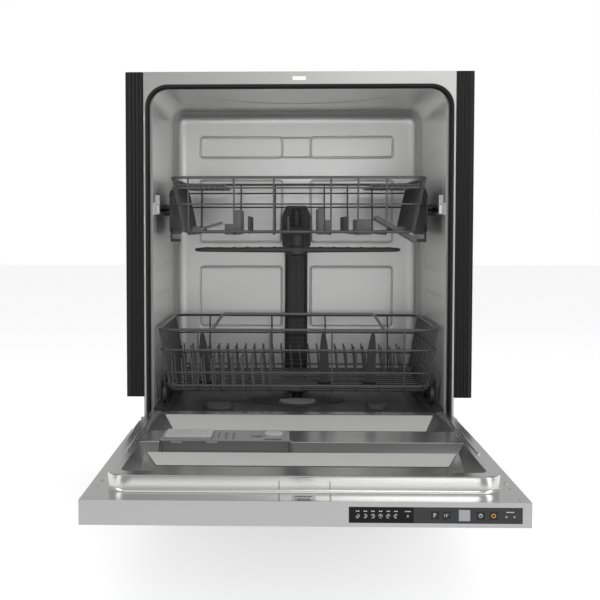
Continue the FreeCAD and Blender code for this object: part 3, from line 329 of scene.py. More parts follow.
def make_materials():
    """Every finish of the machine, by the name its pieces ask for."""
    grain = (900, 900, 900)
    made = {
        "frame_steel": brushed("frame steel", (0.46, 0.46, 0.455), 0.36, "X"),
        "door_steel": brushed("door steel", (0.43, 0.43, 0.43), 0.38, "X"),
        "liner_steel": surface("liner steel", (0.66, 0.66, 0.655), 0.05, 0.24, 0.05, 1.0,
                               (6, 6, 6), 0.03, (700, 700, 700)),
        # panel_painted_light_steel is painted light: a brighter, nearly diffuse copy of the liner
        # steel, standing in for the white studio that the flat panels reflect.
        "panel_painted_light_steel": surface("liner panel steel painted light", (0.60, 0.60, 0.595), 0.04, 0.50, 0.05,
                               0.15, (6, 6, 6), 0.12, (1100, 1100, 1100)),
        # painted_shade_steel is painted shade: a darker copy of the liner steel for the walls of
        # the sunken areas, in place of the dark reflections they show.
        "painted_shade_steel": surface("liner walls painted shade steel", (0.24, 0.24, 0.24), 0.08, 0.30, 0.05, 1.0,
                               (6, 6, 6), 0.03, (700, 700, 700)),
        # holder_plastic_and_painted_shade is the stemware holders' own dark plastic, and also
        # serves as painted shade on the dispenser's side walls.
        "holder_plastic_and_painted_shade": surface("tine holder plastic and painted shade", (0.115, 0.115, 0.12), 0.10, 0.42,
                                  0.06, 0.0, (15, 15, 15), 0.20, grain),
        "tub_steel": surface("tub steel", (0.84, 0.84, 0.835), 0.05, 0.36, 0.05, 0.72,
                             (5, 5, 5), 0.06, (1000, 1000, 1000)),
        "zinc": surface("zinc plated steel", (0.55, 0.56, 0.58), 0.12, 0.36, 0.10, 1.0,
                        (60, 60, 60), 0.10, (500, 500, 500)),
        "spring_steel": surface("spring steel", (0.42, 0.42, 0.43), 0.08, 0.30, 0.08, 1.0,
                                (40, 40, 40), 0.08, grain),
        "filter_steel": surface("filter steel", (0.10, 0.10, 0.10), 0.10, 0.45, 0.08, 1.0,
                                (30, 30, 30), 0.30, (2500, 2500, 2500)),
        "rubber": surface("gasket rubber", (0.008, 0.008, 0.009), 0.2, 0.52, 0.08, 0.0,
                          (20, 20, 20), 0.20, grain, specular=0.3),
        "strip_rubber": surface("side strip rubber", (0.004, 0.004, 0.0045), 0.2, 0.34, 0.06,
                                0.0, (12, 12, 3), 0.12, (1500, 1500, 60), specular=0.3),
        "black_plastic": surface("black plastic", (0.020, 0.020, 0.021), 0.2, 0.42, 0.08, 0.0,
                                 (15, 15, 15), 0.20, grain),
        "duct_plastic": surface("duct plastic", (0.050, 0.051, 0.052), 0.15, 0.40, 0.08, 0.0,
                                (15, 15, 15), 0.20, grain),
        "base_plastic": surface("base plastic", (0.060, 0.060, 0.064), 0.15, 0.55, 0.08, 0.0,
                                (8, 8, 8), 0.35, (700, 700, 700)),
        "grey_plastic": surface("grey plastic", (0.26, 0.26, 0.265), 0.08, 0.42, 0.06, 0.0,
                                (15, 15, 15), 0.20, grain),
        "light_plastic": surface("light grey plastic", (0.48, 0.48, 0.485), 0.06, 0.40, 0.06,
                                 0.0, (15, 15, 15), 0.18, grain),
        "white_plastic": surface("white plastic", (0.74, 0.74, 0.72), 0.05, 0.42, 0.06, 0.0,
                                 (15, 15, 15), 0.18, grain),
        "wire_coat": surface("wire coating", (0.085, 0.085, 0.088), 0.15, 0.34, 0.07, 0.0,
                             (25, 25, 25), 0.25, (600, 600, 600), coat=0.2),
        "dull_plastic": surface("dull grey plastic", (0.075, 0.075, 0.078), 0.12, 0.48, 0.07,
                                0.0, (15, 15, 15), 0.20, grain),
        "tub_plastic": surface("tub floor plastic", (0.030, 0.030, 0.032), 0.15, 0.38, 0.07,
                               0.0, (10, 10, 10), 0.20, (700, 700, 700)),
        "bitumen": surface("bitumen mat", (0.030, 0.030, 0.032), 0.25, 0.62, 0.10, 0.0,
                           (10, 10, 10), 0.60, (260, 260, 260)),
        "strip_dark": surface("strip dark window", (0.006, 0.006, 0.007), 0.2, 0.20, 0.04, 0.0,
                              (20, 20, 20), 0.03, grain, coat=0.05, specular=0.12),
        "strip_grey": surface("strip grey plastic", (0.034, 0.034, 0.036), 0.08, 0.34, 0.05,
                              0.0, (20, 20, 20), 0.10, grain, specular=0.25),
        "key_plastic": surface("key plastic", (0.016, 0.016, 0.018), 0.10, 0.34, 0.05, 0.0,
                               (20, 20, 20), 0.12, grain, specular=0.25),
        "display": surface("display window", (0.30, 0.31, 0.315), 0.06, 0.22, 0.04, 0.0,
                           (30, 30, 30), 0.03, grain, coat=0.4),
        "print_white": surface("white print", (0.62, 0.62, 0.62), 0.06, 0.50, 0.05, 0.0,
                               (60, 60, 60), 0.05, grain),
        "print_amber": surface("amber ring", (0.85, 0.36, 0.05), 0.08, 0.35, 0.05, 0.0,
                               (60, 60, 60), 0.05, grain),
    }
    return made


STORE = {}


def finish(key):
    if not STORE:
        STORE.update(make_materials())
    return STORE[key]


# Geometry Nodes

def wire_tree(name):
    """Tree that turns bare edges into round coated wire with bent corners."""
    tree = bpy.data.node_groups.new(name, "GeometryNodeTree")
    face = tree.interface
    face.new_socket("Geometry", in_out="INPUT", socket_type="NodeSocketGeometry")
    for label, value in (("Wire radius", 0.002), ("Bend radius", 0.008)):
        socket = face.new_socket(label, in_out="INPUT", socket_type="NodeSocketFloat")
        socket.default_value = value
    sides = face.new_socket("Sides", in_out="INPUT", socket_type="NodeSocketInt")
    sides.default_value = 8
    face.new_socket("Finish", in_out="INPUT", socket_type="NodeSocketMaterial")
    face.new_socket("Geometry", in_out="OUTPUT", socket_type="NodeSocketGeometry")
    nodes, links = tree.nodes, tree.links
    start = nodes.new("NodeGroupInput")
    end = nodes.new("NodeGroupOutput")
    line = nodes.new("GeometryNodeMeshToCurve")
    bend = nodes.new("GeometryNodeFilletCurve")
    bend.inputs["Limit Radius"].default_value = True
    ring = nodes.new("GeometryNodeCurvePrimitiveCircle")
    tube = nodes.new("GeometryNodeCurveToMesh")
    tube.inputs["Fill Caps"].default_value = True
    smooth = nodes.new("GeometryNodeSetShadeSmooth")
    real = nodes.new("GeometryNodeRealizeInstances")
    coat = nodes.new("GeometryNodeSetMaterial")
    links.new(start.outputs["Geometry"], line.inputs["Mesh"])
    links.new(line.outputs["Curve"], bend.inputs["Curve"])
    links.new(start.outputs["Bend radius"], bend.inputs["Radius"])
    links.new(start.outputs["Sides"], ring.inputs["Resolution"])
    links.new(start.outputs["Wire radius"], ring.inputs["Radius"])
    links.new(bend.outputs["Curve"], tube.inputs["Curve"])
    links.new(ring.outputs["Curve"], tube.inputs["Profile Curve"])
    links.new(tube.outputs["Mesh"], smooth.inputs["Geometry"])
    links.new(smooth.outputs["Geometry"], real.inputs["Geometry"])
    links.new(real.outputs["Geometry"], coat.inputs["Geometry"])
    links.new(start.outputs["Finish"], coat.inputs["Material"])
    links.new(coat.outputs["Geometry"], end.inputs["Geometry"])
    for node in nodes:
        if node.bl_idname == "GeometryNodeFilletCurve":
            set_fillet_mode(node, tree)
    return tree


def set_fillet_mode(node, tree):
    if hasattr(node, "mode"):
        node.mode = "POLY"
    node.inputs["Count"].default_value = 4


def run_tree(tree, source_mesh, values, name):
    """Apply a node tree to a mesh and return the result as a plain mesh."""
    holder = bpy.data.objects.new(name + "_source", source_mesh)
    bpy.context.scene.collection.objects.link(holder)
    modifier = holder.modifiers.new("nodes", "NODES")
    modifier.node_group = tree
    for item in tree.interface.items_tree:
        if item.item_type == "SOCKET" and item.in_out == "INPUT" and item.name in values:
            modifier[item.identifier] = values[item.name]
    graph = bpy.context.evaluated_depsgraph_get()
    result = bpy.data.meshes.new_from_object(holder.evaluated_get(graph))
    result.name = name
    bpy.data.objects.remove(holder)
    return result


def wires_into(bm, lines, radius, bend, finish_key="wire_coat", sides=8):
    """Add round wires along polylines to a bmesh."""
    source = bpy.data.meshes.new("wire lines")
    verts, edges = [], []
    for line in lines:
        base = len(verts)
        verts += [tuple(point) for point in line]
        edges += [(base + k, base + k + 1) for k in range(len(line) - 1)]
    source.from_pydata(verts, edges, [])
    tree = bpy.data.node_groups.get("coated wire") or wire_tree("coated wire")
    values = {"Wire radius": radius, "Bend radius": bend, "Sides": sides,
              "Finish": finish(finish_key)}
    result = run_tree(tree, source, values, "wire run")
    bm.from_mesh(result)
    bpy.data.meshes.remove(result)


def screw_tree(name):
    """Tree that sets a cross-head screw on every point of a mesh."""
    tree = bpy.data.node_groups.new(name, "GeometryNodeTree")
    face = tree.interface
    face.new_socket("Geometry", in_out="INPUT", socket_type="NodeSocketGeometry")
    radius = face.new_socket("Head radius", in_out="INPUT", socket_type="NodeSocketFloat")
    radius.default_value = 0.004
    face.new_socket("Head", in_out="INPUT", socket_type="NodeSocketObject")
    face.new_socket("Turn", in_out="INPUT", socket_type="NodeSocketVector")
    face.new_socket("Finish", in_out="INPUT", socket_type="NodeSocketMaterial")
    face.new_socket("Geometry", in_out="OUTPUT", socket_type="NodeSocketGeometry")
    nodes, links = tree.nodes, tree.links
    start = nodes.new("NodeGroupInput")
    end = nodes.new("NodeGroupOutput")
    points = nodes.new("GeometryNodeMeshToPoints")
    head = nodes.new("GeometryNodeObjectInfo")
    spread = nodes.new("GeometryNodeInstanceOnPoints")
    spin = nodes.new("FunctionNodeRandomValue")
    spin.data_type = "FLOAT_VECTOR"
    spin.inputs["Seed"].default_value = 7
    spin.inputs["Min"].default_value = (0, 0, 0)
    spin.inputs["Max"].default_value = (0, 0, 3.1)
    own = nodes.new("GeometryNodeRotateInstances")
    real = nodes.new("GeometryNodeRealizeInstances")
    coat = nodes.new("GeometryNodeSetMaterial")
    links.new(start.outputs["Geometry"], points.inputs["Mesh"])
    links.new(points.outputs["Points"], spread.inputs["Points"])
    links.new(start.outputs["Head"], head.inputs["Object"])
    links.new(head.outputs["Geometry"], spread.inputs["Instance"])
    links.new(start.outputs["Turn"], spread.inputs["Rotation"])
    links.new(start.outputs["Head radius"], spread.inputs["Scale"])
    links.new(spread.outputs["Instances"], own.inputs["Instances"])
    links.new(spin.outputs["Value"], own.inputs["Rotation"])
    links.new(own.outputs["Instances"], real.inputs["Geometry"])
    links.new(real.outputs["Geometry"], coat.inputs["Geometry"])
    links.new(start.outputs["Finish"], coat.inputs["Material"])
    links.new(coat.outputs["Geometry"], end.inputs["Geometry"])
    return tree


def screw_head():
    """Unit screw head: a shallow dome with a cross cut in it, facing +Z."""
    known = bpy.data.objects.get("screw head pattern")
    if known:
        return known
    bm = bmesh.new()
    add_lathe(bm, [(0, 0.1), (0.3, 0.1), (0.34, 0.32), (0.7, 0.3), (0.95, 0.14), (1, 0),
                   (1, -0.1), (0, -0.1)], (0, 0, 0), sides=20)
    for turn in (0, 90):
        part = bmesh.new()
        bmesh.ops.create_cube(part, size=1.0)
        bmesh.ops.scale(part, vec=(0.5, 0.12, 0.2), verts=part.verts)
        join_bmesh(bm, part, 0, Matrix.Rotation(math.radians(turn), 4, "Z")
                   @ Matrix.Translation((0, 0, 0.05)))
    mesh = mesh_from_bmesh("screw head pattern", bm, merge=0)
    return bpy.data.objects.new("screw head pattern", mesh)


def screws(name, places, radius, turn, body, finish_key="zinc"):
    """One piece that holds the screws of a body, all facing one way."""
    source = bpy.data.meshes.new(name + " points")
    source.from_pydata([tuple(place) for place in places], [], [])
    tree = bpy.data.node_groups.get("screw row") or screw_tree("screw row")
    values = {"Head radius": radius, "Head": screw_head(), "Turn": turn,
              "Finish": finish(finish_key)}
    mesh = run_tree(tree, source, values, name)
    return new_object(name, mesh, [finish(finish_key)], body)


# Sizes a user may change

class WireSizes(bpy.types.PropertyGroup):
    """Wire of the racks."""
    rim_radius: bpy.props.FloatProperty(
        name="Rim wire radius", description="Radius of the thick rim wires",
        default=2.6 * MM, unit="LENGTH")
    wire_radius: bpy.props.FloatProperty(
        name="Wire radius", description="Radius of the thin basket wires",
        default=1.7 * MM, unit="LENGTH")
    bend_radius: bpy.props.FloatProperty(
        name="Bend radius", description="Radius that the wires are bent to",
        default=12 * MM, unit="LENGTH")
    tine_pitch: bpy.props.FloatProperty(
        name="Tine pitch", description="Distance between plate tines",
        default=19 * MM, unit="LENGTH")


class TubSizes(bpy.types.PropertyGroup):
    """Pressings of the tub."""
    pressing_depth: bpy.props.FloatProperty(
        name="Pressing depth", description="How far the pressed panels stand back",
        default=2.6 * MM, unit="LENGTH")
    edge_width: bpy.props.FloatProperty(
        name="Pressing edge", description="Width of the slope round a pressed panel",
        default=6 * MM, unit="LENGTH")
    groove_width: bpy.props.FloatProperty(
        name="Groove width", description="Half width of the grooves in the back wall",
        default=1.5 * MM, unit="LENGTH")
    rear_bend: bpy.props.FloatProperty(
        name="Rear bend", description="Radius of the bend round the back wall",
        default=26 * MM, unit="LENGTH")
    grid_step: bpy.props.FloatProperty(
        name="Sheet step", description="Spacing of the sheet's grid lines",
        default=4.6 * MM, unit="LENGTH")


class StageSizes(bpy.types.PropertyGroup):
    """Camera and light."""
    lens: bpy.props.FloatProperty(
        name="Lens", description="Focal length in millimetres", default=73.37)
    floor_colour: bpy.props.FloatVectorProperty(
        name="Floor colour", description="Colour of the studio floor", subtype="COLOR",
        size=3, default=(0.86, 0.86, 0.86))
    key_power: bpy.props.FloatProperty(
        name="Overhead light", description="Power of the overhead softbox in watts",
        default=22.0)
    fill: bpy.props.FloatProperty(
        name="Sky light", description="Strength of the pale surroundings", default=0.5)
    floor_glow: bpy.props.FloatProperty(
        name="Floor glow", description="Own light of the studio floor", default=0.5)


def sizes(group):
    return getattr(bpy.context.scene, group)


# Tub

def slope(distance, width):
    """Smooth step from 1 inside an outline to 0 outside it."""
    t = min(1.0, max(0.0, 0.5 - distance / width))
    return t * t * (3 - 2 * t)


def outline_distance(u, v, rect, radius):
    """Signed distance to a rectangle with round corners, negative inside."""
    u0, u1, v0, v1 = rect
    dx = abs(u - (u0 + u1) / 2) - (u1 - u0) / 2 + radius
    dy = abs(v - (v0 + v1) / 2) - (v1 - v0) / 2 + radius
    outside = math.hypot(max(dx, 0), max(dy, 0))
    return outside + min(max(dx, dy), 0) - radius


def side_relief(y, z):
    """How far a tub side wall stands out at a place, from its pressed panels."""
    tub = sizes("tub_sizes")
    front = TUB_FRONT_Y
    upper = (front + 54 * MM, front + 342 * MM, 453 * MM, 678 * MM)
    lower_panel = (front + 41 * MM, front + 330 * MM, 232 * MM, 404 * MM)
    depth = 0.0
    for rect in (upper, lower_panel):
        depth += slope(outline_distance(y, z, rect, 12 * MM), tub.edge_width)
    return depth * tub.pressing_depth


def ceiling_relief(x, y):
    """Curved bead in the ceiling, and a hooked bead in each rear corner."""
    centre_y = TUB_FRONT_Y + 105 * MM
    reach = math.hypot(x, y - centre_y)
    bead = 2.0 * math.exp(-((reach - 175 * MM) / (6.5 * MM)) ** 2)
    bead *= slope(centre_y + 10 * MM - y, 10 * MM)
    hook = abs(y - (TUB_BACK_Y - 80 * MM))
    corner = math.exp(-(hook / (4 * MM)) ** 2) * slope(205 * MM - abs(x), 12 * MM)
    return 1.5 * MM * max(bead, corner)


def back_relief(x, z):
    """Grooves pressed into the back wall: three rows of boxes beside the duct."""
    tub = sizes("tub_sizes")
    rows = ((687, 732), (502, 636), (315, 447))
    depth = 0.0
    for low_z, high_z in rows:
        rect = (31.5 * MM, 211.5 * MM, low_z * MM, high_z * MM)
        edge = outline_distance(abs(x), z, rect, 7 * MM) / tub.groove_width
        depth = max(depth, math.exp(-edge * edge))
    bridge = (-31.5 * MM, 31.5 * MM, 688 * MM, 731 * MM)
    edge = outline_distance(x, z, bridge, 1 * MM) / tub.groove_width
    depth = max(depth, 0.4 * math.exp(-edge * edge))
    return depth * tub.pressing_depth


def uneven_steps(start, end, coarse, marks, reach, fine):
    """Sorted places from start to end, closer together near the marks."""
    count = max(1, round((end - start) / coarse))
    places = {round(start + (end - start) * k / count, 6) for k in range(count + 1)}
    for mark in marks:
        steps = round(reach / fine)
        for k in range(-steps, steps + 1):
            place = mark + k * fine
            if start < place < end:
                places.add(round(place, 6))
    ordered = sorted(places)
    kept = [ordered[0]]
    for place in ordered[1:]:
        if place - kept[-1] > 0.35 * fine:
            kept.append(place)
    kept[-1] = end
    return kept


def grid_mesh(name, columns, rows, place):
    """Sheet of quads whose corners come from place(column, row)."""
    verts = [place(c, r) for r in range(rows + 1) for c in range(columns + 1)]
    faces = []
    for r in range(rows):
        for c in range(columns):
            k = r * (columns + 1) + c
            faces.append((k, k + 1, k + columns + 2, k + columns + 1))
    mesh = bpy.data.meshes.new(name)
    mesh.from_pydata(verts, [], faces)
    return mesh


def solid_sheet(name, mesh, thickness, offset, finish_key, body, replaced):
    """Give a sheet its thickness and finish."""
    piece = new_object(name, mesh, [finish(finish_key)], body, replaced)
    wall = piece.modifiers.new("thickness", "SOLIDIFY")
    wall.thickness = thickness
    wall.offset = offset
    return piece


def build_tub_wrapper():
    radius = 30 * MM
    path = arch_path(TUB_HALF, TUB_TOP, radius, TUB_FLOOR_Z, 8)
    step = sizes("tub_sizes").grid_step
    bead_step = 0.62 * step
    samples = []
    for (here, out), (after, out_after) in zip(path, path[1:]):
        length = math.dist(here, after)
        on_ceiling = out[1] > 0.98 and out_after[1] > 0.98
        count = max(1, round(length / (bead_step if on_ceiling else 1.1 * step)))
        for k in range(count):
            t = k / count
            spot = [here[i] + (after[i] - here[i]) * t for i in (0, 1)]
            way = Vector([out[i] + (out_after[i] - out[i]) * t for i in (0, 1)]).normalized()
            samples.append((spot, way))
    samples.append((path[-1][0], Vector(path[-1][1])))
    depths = []
    y = TUB_FRONT_Y
    while y < TUB_BACK_Y - 0.5 * step:
        depths.append(y)
        on_bead = TUB_FRONT_Y + 96 * MM < y < TUB_FRONT_Y + 290 * MM
        y += bead_step if on_bead else 1.1 * step
    depths.append(TUB_BACK_Y)
    rows = len(depths) - 1

    def place(c, r):
        (x, z), way = samples[c]
        y = depths[r]
        if abs(way.x) > 0.98:
            relief = side_relief(y, z)
        elif way.y > 0.98:
            relief = ceiling_relief(x, y)
        else:
            relief = 0.0
        return (x + way.x * relief, y, z + way.y * relief)

    mesh = grid_mesh("tub_inner_wrapper", len(samples) - 1, rows, place)
    solid_sheet("tub_inner_wrapper", mesh, 0.9 * MM, 1.0, "tub_steel", "cabinet",
                ["tub_wrapper"])


def build_tub_back():
    """Back wall whose edge curves forward into the side walls and the ceiling."""
    step = sizes("tub_sizes").grid_step * 2
    bend = sizes("tub_sizes").rear_bend
    corner = 30 * MM
    xs = uneven_steps(-TUB_HALF, TUB_HALF, step, [side * x * MM for side in (-1, 1)
                                                  for x in (31.5, 211.5)], 7 * MM, 0.9 * MM)
    xs = sorted(set(xs) | {side * (TUB_HALF - k * 2.6 * MM) for side in (-1, 1)
                           for k in range(1, 12)})
    zs = uneven_steps(TUB_FLOOR_Z, TUB_TOP, step, [z * MM for z in (315, 447, 502, 636, 687,
                                                                   732)], 7 * MM, 0.9 * MM)
    zs = sorted(set(zs) | {TUB_TOP - k * 2.6 * MM for k in range(1, 12)})

    def place(c, r):
        x, z = xs[c], zs[r]
        over_x, over_z = abs(x) - (TUB_HALF - corner), z - (TUB_TOP - corner)
        if over_x > 0 and over_z > 0 and math.hypot(over_x, over_z) > corner:
            pull = corner / math.hypot(over_x, over_z)
            x = math.copysign(TUB_HALF - corner + over_x * pull, x)
            z = TUB_TOP - corner + over_z * pull
        rect = (-TUB_HALF, TUB_HALF, TUB_FLOOR_Z - 0.1, TUB_TOP)
        inside = max(0.0, -outline_distance(x, z, rect, corner))
        forward = 0.0
        if inside < bend:
            forward = bend - math.sqrt(max(0.0, bend ** 2 - (bend - inside) ** 2))
        return (x, TUB_BACK_Y + back_relief(x, z) - forward, z)

    mesh = grid_mesh("tub_rear_wall", len(xs) - 1, len(zs) - 1, place)
    solid_sheet("tub_rear_wall", mesh, 1.0 * MM, -1.0, "tub_steel", "cabinet",
                ["tub_back"])


def build_gasket():
    """Soft bulb seal with a lip, in the groove round the mouth."""
    y = FLANGE_Y
    profile = [(0, y + 23 * MM), (0, y + 1 * MM), (-0.6 * MM, y - 1.2 * MM),
               (-2.4 * MM, y - 2.0 * MM), (-4.9 * MM, y - 1.4 * MM), (-6.6 * MM, y + 1.0 * MM),
               (-6.8 * MM, y + 4 * MM), (-5.2 * MM, y + 6.5 * MM), (-5.2 * MM, y + 8 * MM),
               (-6.8 * MM, y + 11 * MM), (-7.0 * MM, y + 15 * MM), (-6.8 * MM, y + 19 * MM),
               (-6.6 * MM, y + 23 * MM)]
    bm = bmesh.new()
    path = arch_path(GASKET_HALF, GASKET_TOP, 41 * MM, TUB_FLOOR_Z, 14)
    add_arch_sweep(bm, path, profile)
    mesh = mesh_from_bmesh("mouth_gasket", bm)
    new_object("mouth_gasket", mesh, [finish("rubber")], "cabinet",
               ["door_gasket"])


def build_side_strips():
    """Ribbed lips that close the gap beside the machine."""
    for side, node in ((-1, "side_strip_left"), (1, "side_strip_right")):
        corner, far = low(node), high(node)
        width = far.x - corner.x
        front = []
        count = 66
        for k in range(count + 1):
            t = k / count
            ribs = 0.5 + 0.5 * math.cos(t * 2 * math.pi * 5)
            crown = 1 - (2 * t - 1) ** 6
            y = corner.y + 3.4 * MM - 2.0 * MM * ribs * crown - 1.2 * MM * crown
            front.append((corner.x + width * t, y))
        back = [(far.x, far.y - 1 * MM), (far.x - 1 * MM, far.y), (corner.x + 1 * MM, far.y),
                (corner.x, far.y - 1 * MM)]
        loop = front + back
        bm = bmesh.new()
        levels = [corner.z, corner.z + 1 * MM, far.z - 1 * MM, far.z]
        add_loft(bm, [[(x, y, z) for x, y in loop] for z in levels])
        mesh = mesh_from_bmesh("edge_strip", bm, merge=0)
        new_object("edge_strip_left" if side < 0 else "edge_strip_right", mesh,
                   [finish("strip_rubber")], "cabinet", [node])


def build_frame_trim():
    """Small clips along the sides of the frame."""
    bm = bmesh.new()
    for side in (-1, 1):
        x = side * (FRAME_HALF - 1.2 * MM)
        for z in (0.262, 0.355, 0.448, 0.540, 0.632, 0.725):
            add_box(bm, x - 1.2 * MM, x + 1.2 * MM, FLANGE_Y - 0.6 * MM, FLANGE_Y + 1 * MM,
                    z, z + 14 * MM, 0.3 * MM)
    mesh = mesh_from_bmesh("frame_clips", bm, merge=0)
    new_object("frame_clips", mesh, [finish("light_plastic")], "cabinet")


def build_jacket():
    """Moulded bitumen mats over the tub: soft edges, seams and a gentle unevenness."""
    node = "sound_jacket"
    corner, far = low(node), high(node)
    radius = 38 * MM
    path = arch_path(far.x - 0.1 * MM, far.z - 0.1 * MM, radius, corner.z, 8)
    step = 11 * MM
    samples = []
    for (here, out), (after, out_after) in zip(path, path[1:]):
        count = max(1, round(math.dist(here, after) / step))
        for k in range(count):
            t = k / count
            spot = [here[i] + (after[i] - here[i]) * t for i in (0, 1)]
            way = Vector([out[i] + (out_after[i] - out[i]) * t for i in (0, 1)]).normalized()
            samples.append((spot, way))
    samples.append((path[-1][0], Vector(path[-1][1])))
    y0, y1 = corner.y + 3 * MM, far.y - 6 * MM
    rows = round((y1 - y0) / step)

    def place(c, r):
        (x, z), way = samples[c]
        y = y0 + (y1 - y0) * r / rows
        uneven = noise.noise(Vector((x * 9, y * 9, z * 9))) * 0.5 * MM - 0.2 * MM
        seam = min(abs(((y - y0) / (y1 - y0)) % 0.333 - 0.166), 1.0)
        groove = -0.5 * MM * math.exp(-((seam - 0.0) * (y1 - y0) / (7 * MM)) ** 2)
        push = uneven + groove
        return (x + way.x * push, y, z + way.y * push)

    mesh = grid_mesh("bitumen_wrap", len(samples) - 1, rows, place)
    piece = solid_sheet("bitumen_wrap", mesh, 1.2 * MM, -1.0, "bitumen", "cabinet",
                        ["sound_jacket"])
    piece.modifiers["thickness"].offset = 1.0 if piece.data.polygons[0].normal.x > 0 else -1.0
    half, top = far.x - 2 * MM, far.z - 2 * MM
    columns = rows_up = 46

    def place_back(c, r):
        u, v = 2 * c / columns - 1, 2 * r / rows_up - 1
        x = u * half
        z = corner.z + (v + 1) / 2 * (top - corner.z)
        edge = max(abs(u), abs(v)) ** 12
        uneven = noise.noise(Vector((x * 9, 3.0, z * 9))) * 1.4 * MM
        grooves = math.exp(-((abs(u) - 0.4) * half / (7 * MM)) ** 2)
        y = TUB_BACK_Y + 4.2 * MM + 0.4 * uneven - 1.5 * MM * edge - 0.8 * MM * grooves
        shrink = 1 - 0.012 * edge
        return (x * shrink, y, z)

    mesh = grid_mesh("bitumen_back", columns, rows_up, place_back)
    solid_sheet("bitumen_back", mesh, 1.8 * MM, -1.0, "bitumen", "cabinet", [])


# Racks

def steps_between(start, end, count):
    return [start + (end - start) * k / (count - 1) for k in range(count)]


def basket_lines(half, y0, y1, z_floor, z_rim, inset, xs, ys, foot):
    """Uprights that run down a wall, across the floor and up the other side."""
    lines = []
    for x in xs:
        lines.append([(x, y0, z_rim), (x, y0 + foot, z_floor), (x, y1 - foot, z_floor),
                      (x, y1, z_rim)])
    for y in ys:
        lines.append([(-half, y, z_rim), (-half + inset, y, z_floor + 3.4 * MM),
                      (half - inset, y, z_floor + 3.4 * MM), (half, y, z_rim)])
    return lines


def ring_line(half, y0, y1, z):
    """Closed run of wire round a basket, started in the middle of the back."""
    return [(0, y1, z), (-half, y1, z), (-half, y0, z), (half, y0, z), (half, y1, z), (0, y1, z)]


def build_upper_rack():
    wire = sizes("wire_sizes")
    half = UPPER[1].x - wire.rim_radius
    y0, y1 = UPPER[0].y + wire.rim_radius, UPPER[1].y - wire.rim_radius
    rim = UPPER[1].z - wire.rim_radius
    bm = bmesh.new()
    floor = UPPER_FLOOR_Z
    xs = [-0.205, -0.120, -0.046, 0.060, 0.110, 0.163]
    ys = steps_between(y0 + 24 * MM, y1 - 24 * MM, 11)
    lines = basket_lines(half, y0, y1, floor, rim, 22 * MM, xs, ys, 16 * MM)
    wires_into(bm, lines, wire.wire_radius, wire.bend_radius)
    rims = [ring_line(half, y0, y1, rim)]
    wires_into(bm, rims, wire.rim_radius, 24 * MM, sides=12)
    rings = [ring_line(half - 1.2 * MM, y0 + 1 * MM, y1 - 1 * MM, rim - 19 * MM),
             ring_line(half - 8 * MM, y0 + 6 * MM, y1 - 6 * MM, rim - 49 * MM),
             ring_line(half - 20 * MM, y0 + 14 * MM, y1 - 14 * MM, floor + 5 * MM)]
    wires_into(bm, rings, wire.wire_radius, 22 * MM)
    tines = []
    for x in (-0.094, -0.019, 0.094):
        for y in steps_between(y0 + 60 * MM, y1 - 60 * MM, 9):
            tines.append([(x, y, floor + 1 * MM), (x, y + 5 * MM, floor + 34 * MM)])
    wires_into(bm, tines, wire.wire_radius, 4 * MM)
    add_box(bm, -0.198, -0.176, y0 + 14 * MM, y0 + 34 * MM, floor + 4 * MM, floor + 12 * MM,
            1.5 * MM)
    for x in (-0.205, 0.192):
        for y in (y0 + 92 * MM, y0 + 210 * MM, y0 + 322 * MM):
            add_box(bm, x, x + 14 * MM, y, y + 26 * MM, floor + 4 * MM, floor + 15 * MM, 2 * MM)
    mesh = mesh_from_bmesh("upper_basket", bm, merge=0)
    new_object("upper_basket", mesh, [finish("wire_coat")], "upper_rack",
               ["upper_rack_walls", "upper_rack_floor"])
    build_glass_bars(y0, floor)


def build_glass_bars(y0, floor):
    """Plastic stemware bars and slabs that stand in the upper basket."""
    bm = bmesh.new()
    slab = bmesh.new()
    bmesh.ops.create_cube(slab, size=1.0)
    bmesh.ops.scale(slab, vec=(88 * MM, 60 * MM, 9 * MM), verts=slab.verts)
    bmesh.ops.bevel(slab, geom=slab.edges[:], offset=1.2 * MM, segments=2, affect="EDGES")
    join_bmesh(bm, slab, 0, Matrix.Translation((0.183, y0 + 60 * MM, floor + 10 * MM))
               @ Matrix.Rotation(math.radians(30), 4, "Y"))
    bar = bmesh.new()
    bmesh.ops.create_cube(bar, size=1.0)
    bmesh.ops.scale(bar, vec=(70 * MM, 16 * MM, 5 * MM), verts=bar.verts)
    bmesh.ops.bevel(bar, geom=bar.edges[:], offset=1.2 * MM, segments=2, affect="EDGES")
    join_bmesh(bm, bar, 0, Matrix.Translation((-0.176, y0 + 30 * MM, floor + 12 * MM))
               @ Matrix.Rotation(math.radians(-16), 4, "Y"))
    for x0, x1, z1 in ((111, 138, 550), (37, 49, 571), (50, 61, 548), (-120, -108, 567),
                       (-139, -121, 541)):
        for y in (y0 + 40 * MM, y0 + 190 * MM):
            add_box(bm, x0 * MM, x1 * MM, y, y + 16 * MM, floor - 1 * MM, z1 * MM, 2 * MM)
    mesh = mesh_from_bmesh("stemware_bars", bm, merge=0)
    new_object("stemware_bars", mesh, [finish("holder_plastic_and_painted_shade")], "upper_rack")


